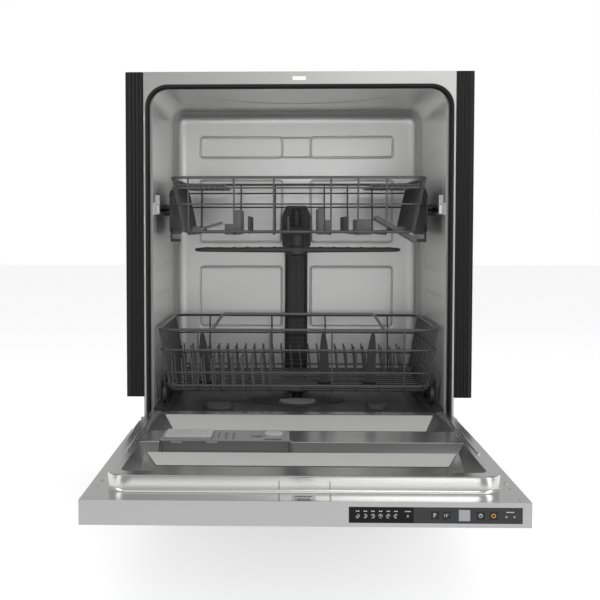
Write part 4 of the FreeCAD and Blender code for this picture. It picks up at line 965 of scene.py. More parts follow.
def build_shelves():
    """Folding cup shelves: bent frames with a cross-hatched mat and a hinge rod."""
    wire = sizes("wire_sizes")
    for side, node, body in ((-1, "cup_shelf_left", "shelf_left"),
                             (1, "cup_shelf_right", "shelf_right")):
        corner, far = low(node), high(node)
        middle = (corner.z + far.z) / 2
        hinge = (far.x if side > 0 else corner.x) - side * 2.8 * MM
        edge = (corner.x if side > 0 else far.x) + side * 2.6 * MM
        y0, y1 = corner.y + 10.6 * MM, far.y - 10.6 * MM
        bm = bmesh.new()
        frame_line = [(hinge, y0, middle), (edge, y0, middle), (edge, y1, middle),
                      (hinge, y1, middle)]
        wires_into(bm, [frame_line], 2.2 * MM, 14 * MM, sides=10)
        wires_into(bm, [[(hinge, corner.y, middle), (hinge, far.y, middle)]], 2.6 * MM, 0,
                   sides=10)
        lines = []
        for y in steps_between(y0 + 11 * MM, y1 - 11 * MM, 22):
            lines.append([(hinge, y, middle + 1 * MM), (edge, y, middle + 1 * MM)])
        for x in steps_between(hinge - side * 10 * MM, edge + side * 8 * MM, 7):
            lines.append([(x, y0, middle - 1 * MM), (x, y1, middle - 1 * MM)])
        wires_into(bm, lines, 1.1 * MM, 0, sides=6)
        mesh = mesh_from_bmesh("cup_shelf", bm, merge=0)
        new_object("cup_shelf_right_mesh" if side > 0 else "cup_shelf_left_mesh", mesh,
                   [finish("wire_coat")], body, [node])


def build_lower_rack():
    wire = sizes("wire_sizes")
    half = LOWER[1].x - wire.rim_radius
    y0, y1 = LOWER[0].y + wire.rim_radius, LOWER[1].y - wire.rim_radius
    rim = 343 * MM
    handle = LOWER[1].z - wire.rim_radius
    floor = LOWER_FLOOR_Z
    bm = bmesh.new()
    ys = steps_between(y0 + 22 * MM, y1 - 22 * MM, 12)
    lines = basket_lines(half, y0, y1, floor, rim, 20 * MM, [-0.188, -0.053, 0.063, 0.198], ys,
                         12 * MM)
    for x in (-0.232, -0.143, -0.098, 0.010, 0.108, 0.153, 0.230):
        lines.append([(x, y0 + 8 * MM, 237 * MM), (x, y0 + 14 * MM, floor),
                      (x, y1 - 14 * MM, floor), (x, y1 - 8 * MM, 237 * MM)])
    wires_into(bm, lines, wire.wire_radius, wire.bend_radius)
    wires_into(bm, [ring_line(half, y0, y1, rim)], wire.rim_radius, 24 * MM, sides=12)
    grip = [(-0.160, y0, rim), (-0.141, y0, handle), (0.141, y0, handle), (0.160, y0, rim)]
    wires_into(bm, [grip], wire.rim_radius, 12 * MM, sides=12)
    rings = [ring_line(half - 3 * MM, y0 + 1.6 * MM, y1 - 1.6 * MM, 305 * MM),
             ring_line(half - 9 * MM, y0 + 5 * MM, y1 - 5 * MM, 262 * MM),
             ring_line(half - 14 * MM, y0 + 8 * MM, y1 - 8 * MM, 237 * MM)]
    wires_into(bm, rings, wire.wire_radius, 22 * MM)
    tines = []
    front = y0 + 24 * MM
    for y in (front, front + 62 * MM, y1 - 120 * MM, y1 - 60 * MM):
        tines.append([(-0.238, y, floor + 2 * MM), (0.232, y, floor + 2 * MM)])
        start, end = (-0.236, -0.060) if y < y1 - 200 * MM else (-0.236, 0.226)
        count = int((end - start) / wire.tine_pitch)
        for k in range(count + 1):
            x = start + k * wire.tine_pitch
            tines.append([(x, y, floor + 1 * MM), (x - 6 * MM, y + 20 * MM, floor + 60 * MM)])
    wires_into(bm, tines, wire.wire_radius, 3 * MM)
    mesh = mesh_from_bmesh("lower_basket", bm, merge=0)
    new_object("lower_basket", mesh, [finish("wire_coat")], "lower_rack",
               ["lower_rack_walls", "lower_rack_floor"])
    build_rack_hardware(half, y0, y1, floor, rim)


def build_rack_hardware(half, y0, y1, floor, rim):
    """Wheel plates, axles and the moulded dividers of the lower basket."""
    bm = bmesh.new()
    wheel_ys = [(low("wheel_pair_%d" % k).y + high("wheel_pair_%d" % k).y) / 2
                for k in range(1, 5)]
    axle_z = (low("wheel_pair_1").z + high("wheel_pair_1").z) / 2
    wheel_out = high("wheel_pair_1").x
    wheel_in = wheel_out - 8 * MM
    for side in (-1, 1):
        for y in wheel_ys:
            a, b = sorted((side * (wheel_out + 1 * MM), side * (wheel_out + 3.6 * MM)))
            plate = [(y - 15 * MM, axle_z + 26 * MM), (y - 9 * MM, axle_z - 7 * MM),
                     (y + 9 * MM, axle_z - 7 * MM), (y + 15 * MM, axle_z + 26 * MM)]
            loop = rounded_loop(plate, [3 * MM, 6 * MM, 6 * MM, 3 * MM], 4)
            add_loft(bm, [[(x, p.x, p.y) for p in loop] for x in (a, b)])
            add_tube(bm, (side * (wheel_in - 3 * MM), y, axle_z),
                     (side * (wheel_out + 4.4 * MM), y, axle_z), 2.9 * MM, 16)
            cap = side * (wheel_in - 2.6 * MM)
            add_tube(bm, (cap, y, axle_z), (cap + side * 2.2 * MM, y, axle_z), 5 * MM, 16)
    for x, lean in ((-0.180, -0.2), (0.052, 0.0), (0.141, 0.2)):
        outline = [(-7 * MM, 0), (7 * MM, 0), (9 * MM, 62 * MM), (3 * MM, 98 * MM),
                   (-4 * MM, 98 * MM), (-9 * MM, 62 * MM)]
        loop = rounded_loop(outline, [2 * MM, 2 * MM, 6 * MM, 3 * MM, 3 * MM, 6 * MM], 4)
        y = y0 + 118 * MM
        rows = []
        for depth in (y - 3 * MM, y + 3 * MM):
            rows.append([(x + p.x + lean * p.y * 0.4, depth + p.y * 0.10,
                          floor + 3 * MM + p.y) for p in loop])
        add_loft(bm, rows)
        add_box(bm, x - 13 * MM, x + 13 * MM, y - 9 * MM, y + 9 * MM, floor + 2 * MM,
                floor + 11 * MM, 2 * MM)
    mesh = mesh_from_bmesh("rack_hardware", bm, merge=0)
    new_object("rack_hardware", mesh, [finish("black_plastic")], "lower_rack")


def build_tines():
    """Folding tine rows: bent wires on an axle wire, with round tips."""
    wire = sizes("wire_sizes")
    for node, body in (("tines_left", "tine_row_left"), ("tines_right", "tine_row_right")):
        corner, far = low(node), high(node)
        axle_y, axle_z = corner.y + 1.8 * MM, corner.z + 1.8 * MM
        bm = bmesh.new()
        count = int((far.x - corner.x) / wire.tine_pitch)
        lines = [[(corner.x, axle_y, axle_z), (far.x, axle_y, axle_z)]]
        for k in range(count):
            x = corner.x + wire.tine_pitch * (k + 0.5)
            lines.append([(x, axle_y, axle_z), (x, axle_y + 14 * MM, far.z - 1.8 * MM)])
        wires_into(bm, lines, 1.7 * MM, 0)
        for line in lines[1:]:
            tip = bmesh.new()
            bmesh.ops.create_uvsphere(tip, u_segments=10, v_segments=6, radius=1.75 * MM)
            join_bmesh(bm, tip, 0, Matrix.Translation(Vector(line[1])))
        mesh = mesh_from_bmesh(node + "_row", bm, merge=0)
        new_object(node + "_row", mesh, [finish("wire_coat")], body, [node])


def build_wheels():
    """Moulded wheels with a tread, a web and spokes."""
    for k in range(1, 5):
        node = "wheel_pair_%d" % k
        corner, far = low(node), high(node)
        y, z = (corner.y + far.y) / 2, (corner.z + far.z) / 2
        outer = (far.z - corner.z) / 2
        bm = bmesh.new()
        for side in (-1, 1):
            x = side * (far.x - 4 * MM)
            w = 4 * MM
            rim = [(outer - 4 * MM, -w), (outer - 0.8 * MM, -w), (outer, -w + 1 * MM),
                   (outer, w - 1 * MM), (outer - 0.8 * MM, w), (outer - 4 * MM, w),
                   (outer - 4 * MM, -w)]
            add_lathe(bm, rim, (x, y, z), "X", 40)
            web = [(3.2 * MM, -1.2 * MM), (outer - 3.8 * MM, -1.2 * MM),
                   (outer - 3.8 * MM, 1.2 * MM), (3.2 * MM, 1.2 * MM), (3.2 * MM, -1.2 * MM)]
            add_lathe(bm, web, (x, y, z), "X", 40)
            hub = [(3.2 * MM, -w), (6.5 * MM, -w), (6.5 * MM, w), (3.2 * MM, w), (3.2 * MM, -w)]
            add_lathe(bm, hub, (x, y, z), "X", 24)
            for spoke in range(6):
                part = bmesh.new()
                bmesh.ops.create_cube(part, size=1.0)
                bmesh.ops.scale(part, vec=(6.4 * MM, 1.6 * MM, outer - 9.5 * MM),
                                verts=part.verts)
                turn = Matrix.Rotation(math.radians(60 * spoke), 4, "X")
                join_bmesh(bm, part, 0, Matrix.Translation((x, y, z)) @ turn
                           @ Matrix.Translation((0, 0, 6 * MM + (outer - 9.5 * MM) / 2)))
        mesh = mesh_from_bmesh("rack_wheels", bm)
        new_object("rack_wheels_%d" % k, mesh, [finish("duct_plastic")], "wheels_%d" % k,
                   [node])


# Spray system and filter

def build_spray_arms():
    for node, body, name in (("lower_spray_arm", "lower_arm", "lower_spray_blade"),
                             ("upper_spray_arm", "upper_arm", "upper_spray_blade")):
        corner, far = low(node), high(node)
        y = (corner.y + far.y) / 2
        z0 = corner.z + 6 * MM
        half = far.x - 0.4 * MM
        bm = bmesh.new()
        stations = []
        count = 44
        for k in range(count + 1):
            u = -1 + 2 * k / count
            reach = abs(u)
            width = 17 * MM - 8 * MM * min(1.0, max(0.0, (reach - 0.15) / 0.8)) ** 1.2
            thick = 12 * MM - 3.5 * MM * reach
            if reach > 0.96:
                taper = math.sqrt(max(0.02, 1 - ((reach - 0.96) / 0.04) ** 2))
                width *= taper
                thick *= 0.55 + 0.45 * taper
            loop = []
            for s in range(20):
                turn = 2 * math.pi * s / 20
                c, d = math.cos(turn), math.sin(turn)
                power = 0.55
                loop.append((u * half, y + width * math.copysign(abs(c) ** power, c),
                             z0 + 6 * MM + thick / 2 * math.copysign(abs(d) ** power, d)))
            stations.append(loop)
        add_loft(bm, stations)
        hub = [(0, -6 * MM), (16 * MM, -6 * MM), (19.6 * MM, -2 * MM), (19.8 * MM, 10 * MM),
               (17 * MM, 13.4 * MM), (8 * MM, 13.9 * MM), (0, 13.9 * MM)]
        add_lathe(bm, hub, (0, y, z0), "Z", 40)
        for k in range(18):
            turn = 2 * math.pi * k / 18
            x, dy = 19.2 * MM * math.cos(turn), 19.2 * MM * math.sin(turn)
            add_box(bm, x - 0.9 * MM, x + 0.9 * MM, y + dy - 0.9 * MM, y + dy + 0.9 * MM,
                    z0 - 1 * MM, z0 + 10 * MM)
        for side in (-1, 1):
            for step in range(6):
                x = side * (46 + step * 27) * MM
                off = (step % 3 - 1) * 3 * MM
                top = z0 + 12 * MM - 3.5 * MM / 2 * abs(x) / half - 0.6 * MM
                nozzle = [(0, 0), (3.6 * MM, 0), (3.0 * MM, 1.3 * MM), (1.5 * MM, 1.5 * MM),
                          (1.3 * MM, 0.4 * MM), (0, 0.4 * MM)]
                add_lathe(bm, nozzle, (x, y + off, top), "Z", 14)
            rib = side * half * 0.5
            add_box(bm, min(rib - half * 0.42, rib + half * 0.42),
                    max(rib - half * 0.42, rib + half * 0.42), y - 0.8 * MM, y + 0.8 * MM,
                    z0 + 9.6 * MM, z0 + 11.0 * MM, 0.3 * MM)
        mesh = mesh_from_bmesh(name, bm, merge=0)
        new_object(name, mesh, [finish("duct_plastic")], body, [node])


def build_duct():
    """Water duct on the rear wall with its ribs, and the dock for the upper arm."""
    corner, far = low("riser_duct"), high("riser_duct")
    back = far.y
    dock_low = 491 * MM
    bm = bmesh.new()
    half = 24.5 * MM
    loops = []
    outline = [(-half, back), (half, back), (half, back - 15 * MM), (half - 7 * MM, back - 22 * MM),
               (-half + 7 * MM, back - 22 * MM), (-half, back - 15 * MM)]
    loop = rounded_loop(outline, [0.5 * MM, 0.5 * MM, 4 * MM, 4 * MM, 4 * MM, 4 * MM], 4)
    for z in (corner.z, dock_low):
        loops.append([(p.x, p.y, z) for p in loop])
    add_loft(bm, loops)
    for k in range(15):
        z = corner.z + 12 * MM + k * 9.5 * MM
        add_box(bm, -half + 3 * MM, half - 3 * MM, back - 23.6 * MM, back - 20 * MM, z,
                z + 3.4 * MM, 0.8 * MM)
    for x in (-13 * MM, 0, 13 * MM):
        add_box(bm, x - 1.2 * MM, x + 1.2 * MM, back - 23.4 * MM, back - 20 * MM,
                corner.z + 160 * MM, dock_low, 0.6 * MM)
    dock = [(-31 * MM, dock_low), (31 * MM, dock_low), (31 * MM, 560 * MM), (22 * MM, far.z),
            (-22 * MM, far.z), (-31 * MM, 560 * MM)]
    loop = rounded_loop(dock, [6 * MM, 6 * MM, 8 * MM, 6 * MM, 6 * MM, 8 * MM], 5)
    add_loft(bm, [[(p.x, y, p.y) for p in loop] for y in (back, back - 24 * MM)])
    loop_in = rounded_loop([(x * 0.86, 536 * MM + (z - 536 * MM) * 0.9) for x, z in dock],
                           [5 * MM] * 6, 5)
    add_loft(bm, [[(p.x, y, p.y) for p in loop_in] for y in (back - 24 * MM, back - 29 * MM)])
    dome = [(0, 6 * MM), (9 * MM, 5 * MM), (13 * MM, 0), (14 * MM, -10 * MM), (14 * MM, -34 * MM),
            (0, -34 * MM)]
    add_lathe(bm, dome, (0, back - 20 * MM, 571 * MM), "Z", 32)
    for k in range(4):
        z = 541 * MM + k * 7 * MM
        add_box(bm, -17 * MM, 17 * MM, back - 34 * MM, back - 22 * MM, z, z + 2 * MM, 0.6 * MM)
    mesh = mesh_from_bmesh("water_duct", bm, merge=0)
    new_object("water_duct", mesh, [finish("duct_plastic")], "cabinet",
               ["riser_duct"])


def build_brackets():
    """Roller plates that hang the upper rack on its rails, with their rollers."""
    corner, far = low("height_brackets"), high("height_brackets")
    bm = bmesh.new()
    for side in (-1, 1):
        plate_x = 241.6 * MM
        a, b = sorted((side * plate_x, side * (plate_x + 2.6 * MM)))
        outline = [(corner.y, corner.z + 22 * MM), (corner.y + 60 * MM, corner.z + 14 * MM),
                   (far.y - 60 * MM, corner.z + 14 * MM), (far.y, corner.z + 22 * MM),
                   (far.y, far.z - 14 * MM), (far.y - 30 * MM, far.z),
                   (corner.y + 30 * MM, far.z), (corner.y, far.z - 14 * MM)]
        loop = rounded_loop(outline, [6 * MM] * 8, 4)
        add_loft(bm, [[(x, p.x, p.y) for p in loop] for x in (a, b)])
        for y in steps_between(corner.y + 26 * MM, far.y - 26 * MM, 9):
            add_box(bm, min(a, b) - (1.2 * MM if side < 0 else -1.2 * MM) - 0.6 * MM,
                    max(a, b) - (1.2 * MM if side < 0 else -1.2 * MM) + 0.6 * MM,
                    y - 1.2 * MM, y + 1.2 * MM, corner.z + 24 * MM, far.z - 8 * MM, 0.5 * MM)
        for y in (corner.y + 36 * MM, far.y - 36 * MM):
            for z in (562.5 * MM, 572.5 * MM):
                start = side * (plate_x + 2 * MM)
                add_tube(bm, (start, y, z), (side * 256.0 * MM, y, z), 4.4 * MM, 20)
        y = corner.y + 30 * MM
        c, d = sorted((side * 226 * MM, side * (plate_x + 1 * MM)))
        add_box(bm, c, d, y - 10 * MM, y + 10 * MM, corner.z, corner.z + 6 * MM, 1.2 * MM)
        add_box(bm, a, b, y - 10 * MM, y + 10 * MM, corner.z, corner.z + 30 * MM, 0.8 * MM)
    mesh = mesh_from_bmesh("roller_plates", bm, merge=0)
    new_object("roller_plates", mesh, [finish("black_plastic")], "rack_carrier",
               ["height_brackets"])


# Door

def ring_at(bm, loop, height):
    """Vertices of a plan outline, at a height that may depend on y."""
    lift = height if callable(height) else (lambda y: height)
    return [bm.verts.new((p.x, p.y, lift(p.y))) for p in loop]


def skin_rings(bm, ring, after, index=0):
    for k in range(len(ring)):
        m = (k + 1) % len(ring)
        bm.faces.new((ring[k], ring[m], after[m], after[k])).material_index = index


def grow(corners, amount):
    """Corners of a convex outline moved outward, by sign from its middle."""
    mid_y = sum(y for _, y in corners) / len(corners)
    return [(x + math.copysign(amount, x), y + math.copysign(amount, y - mid_y))
            for x, y in corners]


def inset_panel(bm, corners, height, radius=3 * MM):
    """Pressed panel with a groove round it; returns the groove's outer ring."""
    lift = height if callable(height) else (lambda y: height)
    groove = rounded_loop(grow(corners, 2.6 * MM), [radius + 2 * MM] * 4, 4)
    edge = rounded_loop(corners, [radius] * 4, 4)
    crown = rounded_loop(grow(corners, -1.3 * MM), [radius] * 4, 4)
    outer = ring_at(bm, groove, lift)
    rings = [outer,
             ring_at(bm, groove, lambda y: lift(y) - 2.2 * MM),
             ring_at(bm, edge, lambda y: lift(y) - 2.2 * MM),
             ring_at(bm, edge, lambda y: lift(y) + 0.2 * MM),
             ring_at(bm, crown, lambda y: lift(y) + 0.9 * MM)]
    for ring, after in zip(rings[:3], rings[1:4]):
        skin_rings(bm, ring, after)
    # The panel's rim and crown take slot 1, painted light: a brighter copy of the liner steel.
    skin_rings(bm, rings[3], rings[4], 1)
    bm.faces.new(rings[4]).material_index = 1
    return outer


def build_door_liner():
    """Inner door of pressed steel: ledge, raised block and its two sunken areas."""
    ledge_low, ledge_top = low("door_liner").z, DOOR_TOP_Z
    top = BLOCK_TOP_Z
    near, far = DOOR_NEAR_Y + 1.2 * MM, DOOR_FAR_Y
    step_y = FLANGE_Y - 64 * MM
    narrow = 278.5 * MM
    outline = [(-DOOR_HALF, near), (DOOR_HALF, near), (DOOR_HALF, step_y), (narrow, step_y),
               (narrow, far), (-narrow, far), (-narrow, step_y), (-DOOR_HALF, step_y)]
    bm = bmesh.new()
    ledge = rounded_loop(outline, [0.6 * MM] * 8, 2)
    under = ring_at(bm, ledge, ledge_low)
    upper = ring_at(bm, ledge, ledge_top)
    skin_rings(bm, under, upper)
    pocket = rounded_loop([(-15.4 * MM, near + 1.6 * MM), (15.4 * MM, near + 1.6 * MM),
                           (15.4 * MM, near + 33.2 * MM), (-15.4 * MM, near + 33.2 * MM)],
                          [1 * MM] * 4, 3)
    pocket_low, pocket_top = ring_at(bm, pocket, ledge_low), ring_at(bm, pocket, ledge_top)
    skin_rings(bm, pocket_low, pocket_top)
    half = 271.5 * MM
    y0, y1 = DOOR_NEAR_Y + 51 * MM, FLANGE_Y - 15 * MM
    block = [(-half, y0), (half, y0), (half, y1), (-half, y1)]
    rise = [(5.0, 0.0, 46), (2.2, 0.5, 43), (0.8, 2.0, 41), (0.0, 4.4, 40), (0.0, 20.8, 40),
            (-0.5, 22.8, 39), (-1.8, 24.1, 38), (-3.4, 24.5, 36)]
    rings = []
    for out, up, radius in rise:
        loop = rounded_loop(grow(block, out * MM), [radius * MM, radius * MM, 8 * MM, 8 * MM], 10)
        rings.append(ring_at(bm, loop, ledge_top + up * MM))
    for ring, after in zip(rings, rings[1:]):
        skin_rings(bm, ring, after)
    fill_flat(bm, [under, pocket_low])
    fill_flat(bm, [upper, pocket_top, rings[0]])
    floor = 184.4 * MM
    rim_x = 252 * MM
    notch = ((-14 * MM, -221.6 * MM), -258 * MM)
    first_top = [(-rim_x, -501 * MM), (rim_x, -501 * MM), (rim_x, -269 * MM),
                 (notch[0][0], -269 * MM), (notch[0][0], notch[1]), (notch[0][1], notch[1]),
                 (notch[0][1], -269 * MM), (-rim_x, -269 * MM)]
    first_floor = [(-227 * MM, -489 * MM), (227 * MM, -489 * MM), (245 * MM, -271 * MM),
                   (notch[0][0] + 1 * MM, -271 * MM), (notch[0][0] + 1 * MM, notch[1] + 0.4 * MM),
                   (notch[0][1] - 1 * MM, notch[1] + 0.4 * MM), (notch[0][1] - 1 * MM, -271 * MM),
                   (-245 * MM, -271 * MM)]
    radii = [12 * MM, 12 * MM] + [0.8 * MM] * 6
    loop_top = rounded_loop(first_top, radii, 5)
    loop_floor = rounded_loop(first_floor, [8 * MM, 8 * MM] + [0.8 * MM] * 6, 5)
    first = ring_at(bm, loop_top, top)
    lip = ring_at(bm, loop_top, top - 1.2 * MM)
    base = ring_at(bm, loop_floor, floor)
    skin_rings(bm, first, lip)
    # The walls of the first sunken area take slot 2: painted shade, a darker copy of the liner
    # steel.
    skin_rings(bm, lip, base, 2)
    plate = [(-213 * MM, -385 * MM), (213 * MM, -385 * MM), (238.6 * MM, -284 * MM),
             (-238.6 * MM, -284 * MM)]
    fill_flat(bm, [base, inset_panel(bm, plate, floor)])
    second_top = [(-rim_x, -168 * MM), (rim_x, -168 * MM), (rim_x, -83 * MM),
                  (245 * MM, 17 * MM), (-245 * MM, 17 * MM), (-rim_x, -83 * MM)]
    second_floor = [(-212 * MM, -164 * MM), (212 * MM, -164 * MM), (218 * MM, -86 * MM),
                    (242 * MM, 14 * MM), (-242 * MM, 14 * MM), (-218 * MM, -86 * MM)]

    def ramp(y):
        return 184.6 * MM + max(0.0, (y + 86 * MM) / (100 * MM)) * 14.4 * MM

    radii = [3 * MM, 3 * MM, 1 * MM, 4 * MM, 4 * MM, 1 * MM]
    second = ring_at(bm, rounded_loop(second_top, radii, 4), top)
    slope_base = ring_at(bm, rounded_loop(second_floor, radii, 4), ramp)
    # The walls of the second sunken area take slot 2: painted shade, a darker copy of the liner
    # steel.
    skin_rings(bm, second, slope_base, 2)
    bright = [(-215 * MM, -80 * MM), (215 * MM, -80 * MM), (238 * MM, 9 * MM),
              (-238 * MM, 9 * MM)]
    fill_flat(bm, [slope_base, inset_panel(bm, bright, ramp)])
    fill_flat(bm, [rings[-1], first, second])
    mesh = mesh_from_bmesh("door_inner_pressing", bm)
    # Slot 1 paints light onto the panels as a brighter copy of the liner steel.
    # Slot 2 paints shade onto the walls of the sunken areas as a darker copy of the liner steel.
    finishes = [finish("liner_steel"), finish("panel_painted_light_steel"), finish("painted_shade_steel")]
    new_object("door_inner_pressing", mesh, finishes, "door", ["door_liner"])
    build_liner_details(top, ledge_top, y0)


def build_liner_details(top, ledge_top, y0):
    bm = bmesh.new()
    for side in (-1, 1):
        a, b = sorted((side * 258.4 * MM, side * 264.0 * MM))
        add_box(bm, a, b, -367 * MM, FLANGE_Y - 24 * MM, top - 0.6 * MM, top + 0.9 * MM, 0.6 * MM)
    mesh = mesh_from_bmesh("liner_guides", bm, merge=0)
    new_object("liner_guides", mesh, [finish("liner_steel")], "door")
    bm = bmesh.new()
    for x in (-33 * MM, 36 * MM):
        add_box(bm, x - 0.45 * MM, x + 0.45 * MM, y0 - 0.12 * MM, y0 + 0.6 * MM,
                ledge_top + 5 * MM, ledge_top + 16 * MM)
        add_box(bm, x - 0.45 * MM, x + 0.45 * MM, DOOR_NEAR_Y + 4 * MM, y0 - 7 * MM,
                ledge_top - 0.5 * MM, ledge_top + 0.12 * MM)
    for x in (-9.5, -5.7, -1.9, 1.9, 5.7, 9.5):
        add_box(bm, (x - 1.2) * MM, (x + 1.2) * MM, DOOR_NEAR_Y + 27.2 * MM,
                DOOR_NEAR_Y + 31 * MM, ledge_top - 1.5 * MM, ledge_top + 0.3 * MM, 0.2 * MM)
    mesh = mesh_from_bmesh("latch_slots", bm, merge=0)
    new_object("latch_slots", mesh, [finish("black_plastic")], "door")
    places = [(side * 286 * MM, y * MM, ledge_top) for side in (-1, 1)
              for y in (-561, -490, -450)]
    screws("liner_screws", places, 3.3 * MM, (0, 0, 0), "door")


def build_dispenser():
    """Detergent and rinse aid dispenser: case, vents, lever and level window."""
    corner, far = low("dispenser_body"), high("dispenser_body")
    x0, x1, y0, y1 = corner.x - 1 * MM, far.x + 1 * MM, corner.y - 2.4 * MM, far.y - 12 * MM
    top = far.z + 0.25 * MM
    bm = bmesh.new()
    outline = [(x0, y0), (x1, y0), (x1, y1), (x0, y1)]
    chamber = [(-210 * MM, y0 + 16 * MM), (-148 * MM, y0 + 16 * MM),
               (-148 * MM, y0 + 78 * MM), (-210 * MM, y0 + 78 * MM)]
    levels = [(0.0, corner.z + 33.7 * MM), (0.0, top - 1.4 * MM), (-0.5, top - 0.4 * MM),
              (-1.4, top)]
    rings = [ring_at(bm, rounded_loop(grow(outline, out * MM), [3 * MM] * 4, 5), z)
             for out, z in levels]
    # The case's side walls take slot 1, a darker plastic than its top: painted shade.
    skin_rings(bm, rings[0], rings[1], 1)
    for ring, after in zip(rings[1:], rings[2:]):
        skin_rings(bm, ring, after)
    bm.faces.new(rings[0][::-1])
    mouth = rounded_loop(chamber, [8 * MM] * 4, 5)
    cup = [ring_at(bm, mouth, z) for z in (top, top - 12 * MM)]
    skin_rings(bm, cup[0], cup[1])
    bm.faces.new(cup[1])
    fill_flat(bm, [rings[-1], cup[0]])
    for x in (-196, -140):
        add_box(bm, (x - 9) * MM, (x + 9) * MM, y0 - 1.2 * MM, y0 + 2 * MM, top - 4.2 * MM,
                top - 1.2 * MM, 0.5 * MM)
    for x in (-128, -112, -96):
        add_box(bm, (x - 4.5) * MM, (x - 3.3) * MM, y0 + 10 * MM, y1 - 10 * MM, top - 0.4 * MM,
                top + 0.2 * MM, 0.05 * MM)
    add_box(bm, -80 * MM, -58 * MM, y0 + 20 * MM, y1 - 18 * MM, top - 0.5 * MM, top + 1.6 * MM,
            1 * MM)
    mesh = mesh_from_bmesh("dispenser_case", bm)
    # Slot 1 is painted shade for the side walls of the case.
    new_object("dispenser_case", mesh, [finish("grey_plastic"), finish("holder_plastic_and_painted_shade")],
               "door", ["dispenser_body"])
    bm = bmesh.new()
    for x in (-131, -119, -107):
        for k in range(4):
            y = y0 + (18 + k * 15) * MM
            add_box(bm, (x - 1.9) * MM, (x + 1.9) * MM, y, y + 7 * MM, top - 0.4 * MM,
                    top + 0.12 * MM)
    add_box(bm, -56 * MM, -30 * MM, y0 + 8 * MM, y0 + 15 * MM, top - 0.4 * MM, top + 0.15 * MM)
    add_box(bm, -77 * MM, -61 * MM, y0 + 26 * MM, y0 + 34 * MM, top + 1.2 * MM, top + 1.8 * MM,
            0.2 * MM)
    mesh = mesh_from_bmesh("dispenser_vents", bm, merge=0)
    new_object("dispenser_vents", mesh, [finish("black_plastic")], "door")
    build_dispenser_lid(top)
    build_rinse_cap(top)


def build_dispenser_lid(top):
    corner, far = low("dispenser_lid"), high("dispenser_lid")
    bm = bmesh.new()
    z0 = corner.z + 0.3 * MM
    outline = [(corner.x, corner.y), (far.x, corner.y), (far.x, far.y), (corner.x, far.y)]
    rings = []
    for out, z in ((0.0, z0), (0.0, z0 + 1.6 * MM), (-0.6, z0 + 2.4 * MM), (-1.8, z0 + 2.7 * MM)):
        middle_x = (corner.x + far.x) / 2
        middle_y = (corner.y + far.y) / 2
        corners = [(x + math.copysign(out * MM, x - middle_x),
                    y + math.copysign(out * MM, y - middle_y)) for x, y in outline]
        rings.append(ring_at(bm, rounded_loop(corners, [6 * MM] * 4, 6), z))
    for ring, after in zip(rings, rings[1:]):
        skin_rings(bm, ring, after)
    bm.faces.new(rings[0][::-1])
    bm.faces.new(rings[-1])
    for k in range(6):
        x = corner.x + (12 + k * 4.4) * MM
        add_box(bm, x, x + 1.6 * MM, corner.y + 16 * MM, far.y - 16 * MM, z0 + 2.3 * MM,
                z0 + 3.4 * MM, 0.4 * MM)
    add_box(bm, far.x - 15 * MM, far.x - 10 * MM, corner.y + 18 * MM, far.y - 18 * MM,
            z0 + 2.2 * MM, far.z, 0.9 * MM)
    mesh = mesh_from_bmesh("dispenser_flap", bm, merge=0)
    new_object("dispenser_flap", mesh, [finish("light_plastic")], "detergent_lid",
               ["dispenser_lid"])


def build_rinse_cap(top):
    corner, far = low("rinse_aid_cap"), high("rinse_aid_cap")
    x, y = (corner.x + far.x) / 2, (corner.y + far.y) / 2
    radius = (far.x - corner.x) / 2
    bm = bmesh.new()
    z = top
    profile = [(0, 0), (radius, 0), (radius, 3.0 * MM), (radius - 1 * MM, 3.9 * MM),
               (radius - 4 * MM, 4.0 * MM), (radius - 5 * MM, 3.2 * MM), (0, 3.2 * MM)]
    add_lathe(bm, profile, (x, y, z), "Z", 40)
    for k in range(24):
        turn = 2 * math.pi * k / 24
        px, py = x + radius * math.cos(turn), y + radius * math.sin(turn)
        add_box(bm, px - 0.5 * MM, px + 0.5 * MM, py - 0.5 * MM, py + 0.5 * MM, z + 0.3 * MM,
                z + 3 * MM)
    add_box(bm, corner.x + 3 * MM, far.x - 3 * MM, y - 1.6 * MM, y + 1.6 * MM, z + 3 * MM,
            z + 6.0 * MM, 0.9 * MM)
    mesh = mesh_from_bmesh("rinse_knob", bm, merge=0)
    new_object("rinse_knob", mesh, [finish("light_plastic")], "rinse_cap",
               ["rinse_aid_cap"])


def symbol_ring(bm, x, z, y, radius, width, sides=24, start=0.0, sweep=360.0, index=0):
    """Flat printed ring or arc on the face of the strip."""
    steps = max(3, round(sides * sweep / 360))
    for k in range(steps):
        a = math.radians(start + sweep * k / steps)
        b = math.radians(start + sweep * (k + 1) / steps)
        quad = [(radius, a), (radius, b), (radius - width, b), (radius - width, a)]
        loop = [(x + r * math.cos(t), z + r * math.sin(t)) for r, t in quad]
        add_loft(bm, [[(px, depth, pz) for px, pz in loop]
                      for depth in (y - 0.10 * MM, y + 0.05 * MM)], index=index)


def symbol_bar(bm, x0, x1, z0, z1, y, index=0):
    add_box(bm, x0, x1, y - 0.10 * MM, y + 0.05 * MM, z0, z1, index=index)


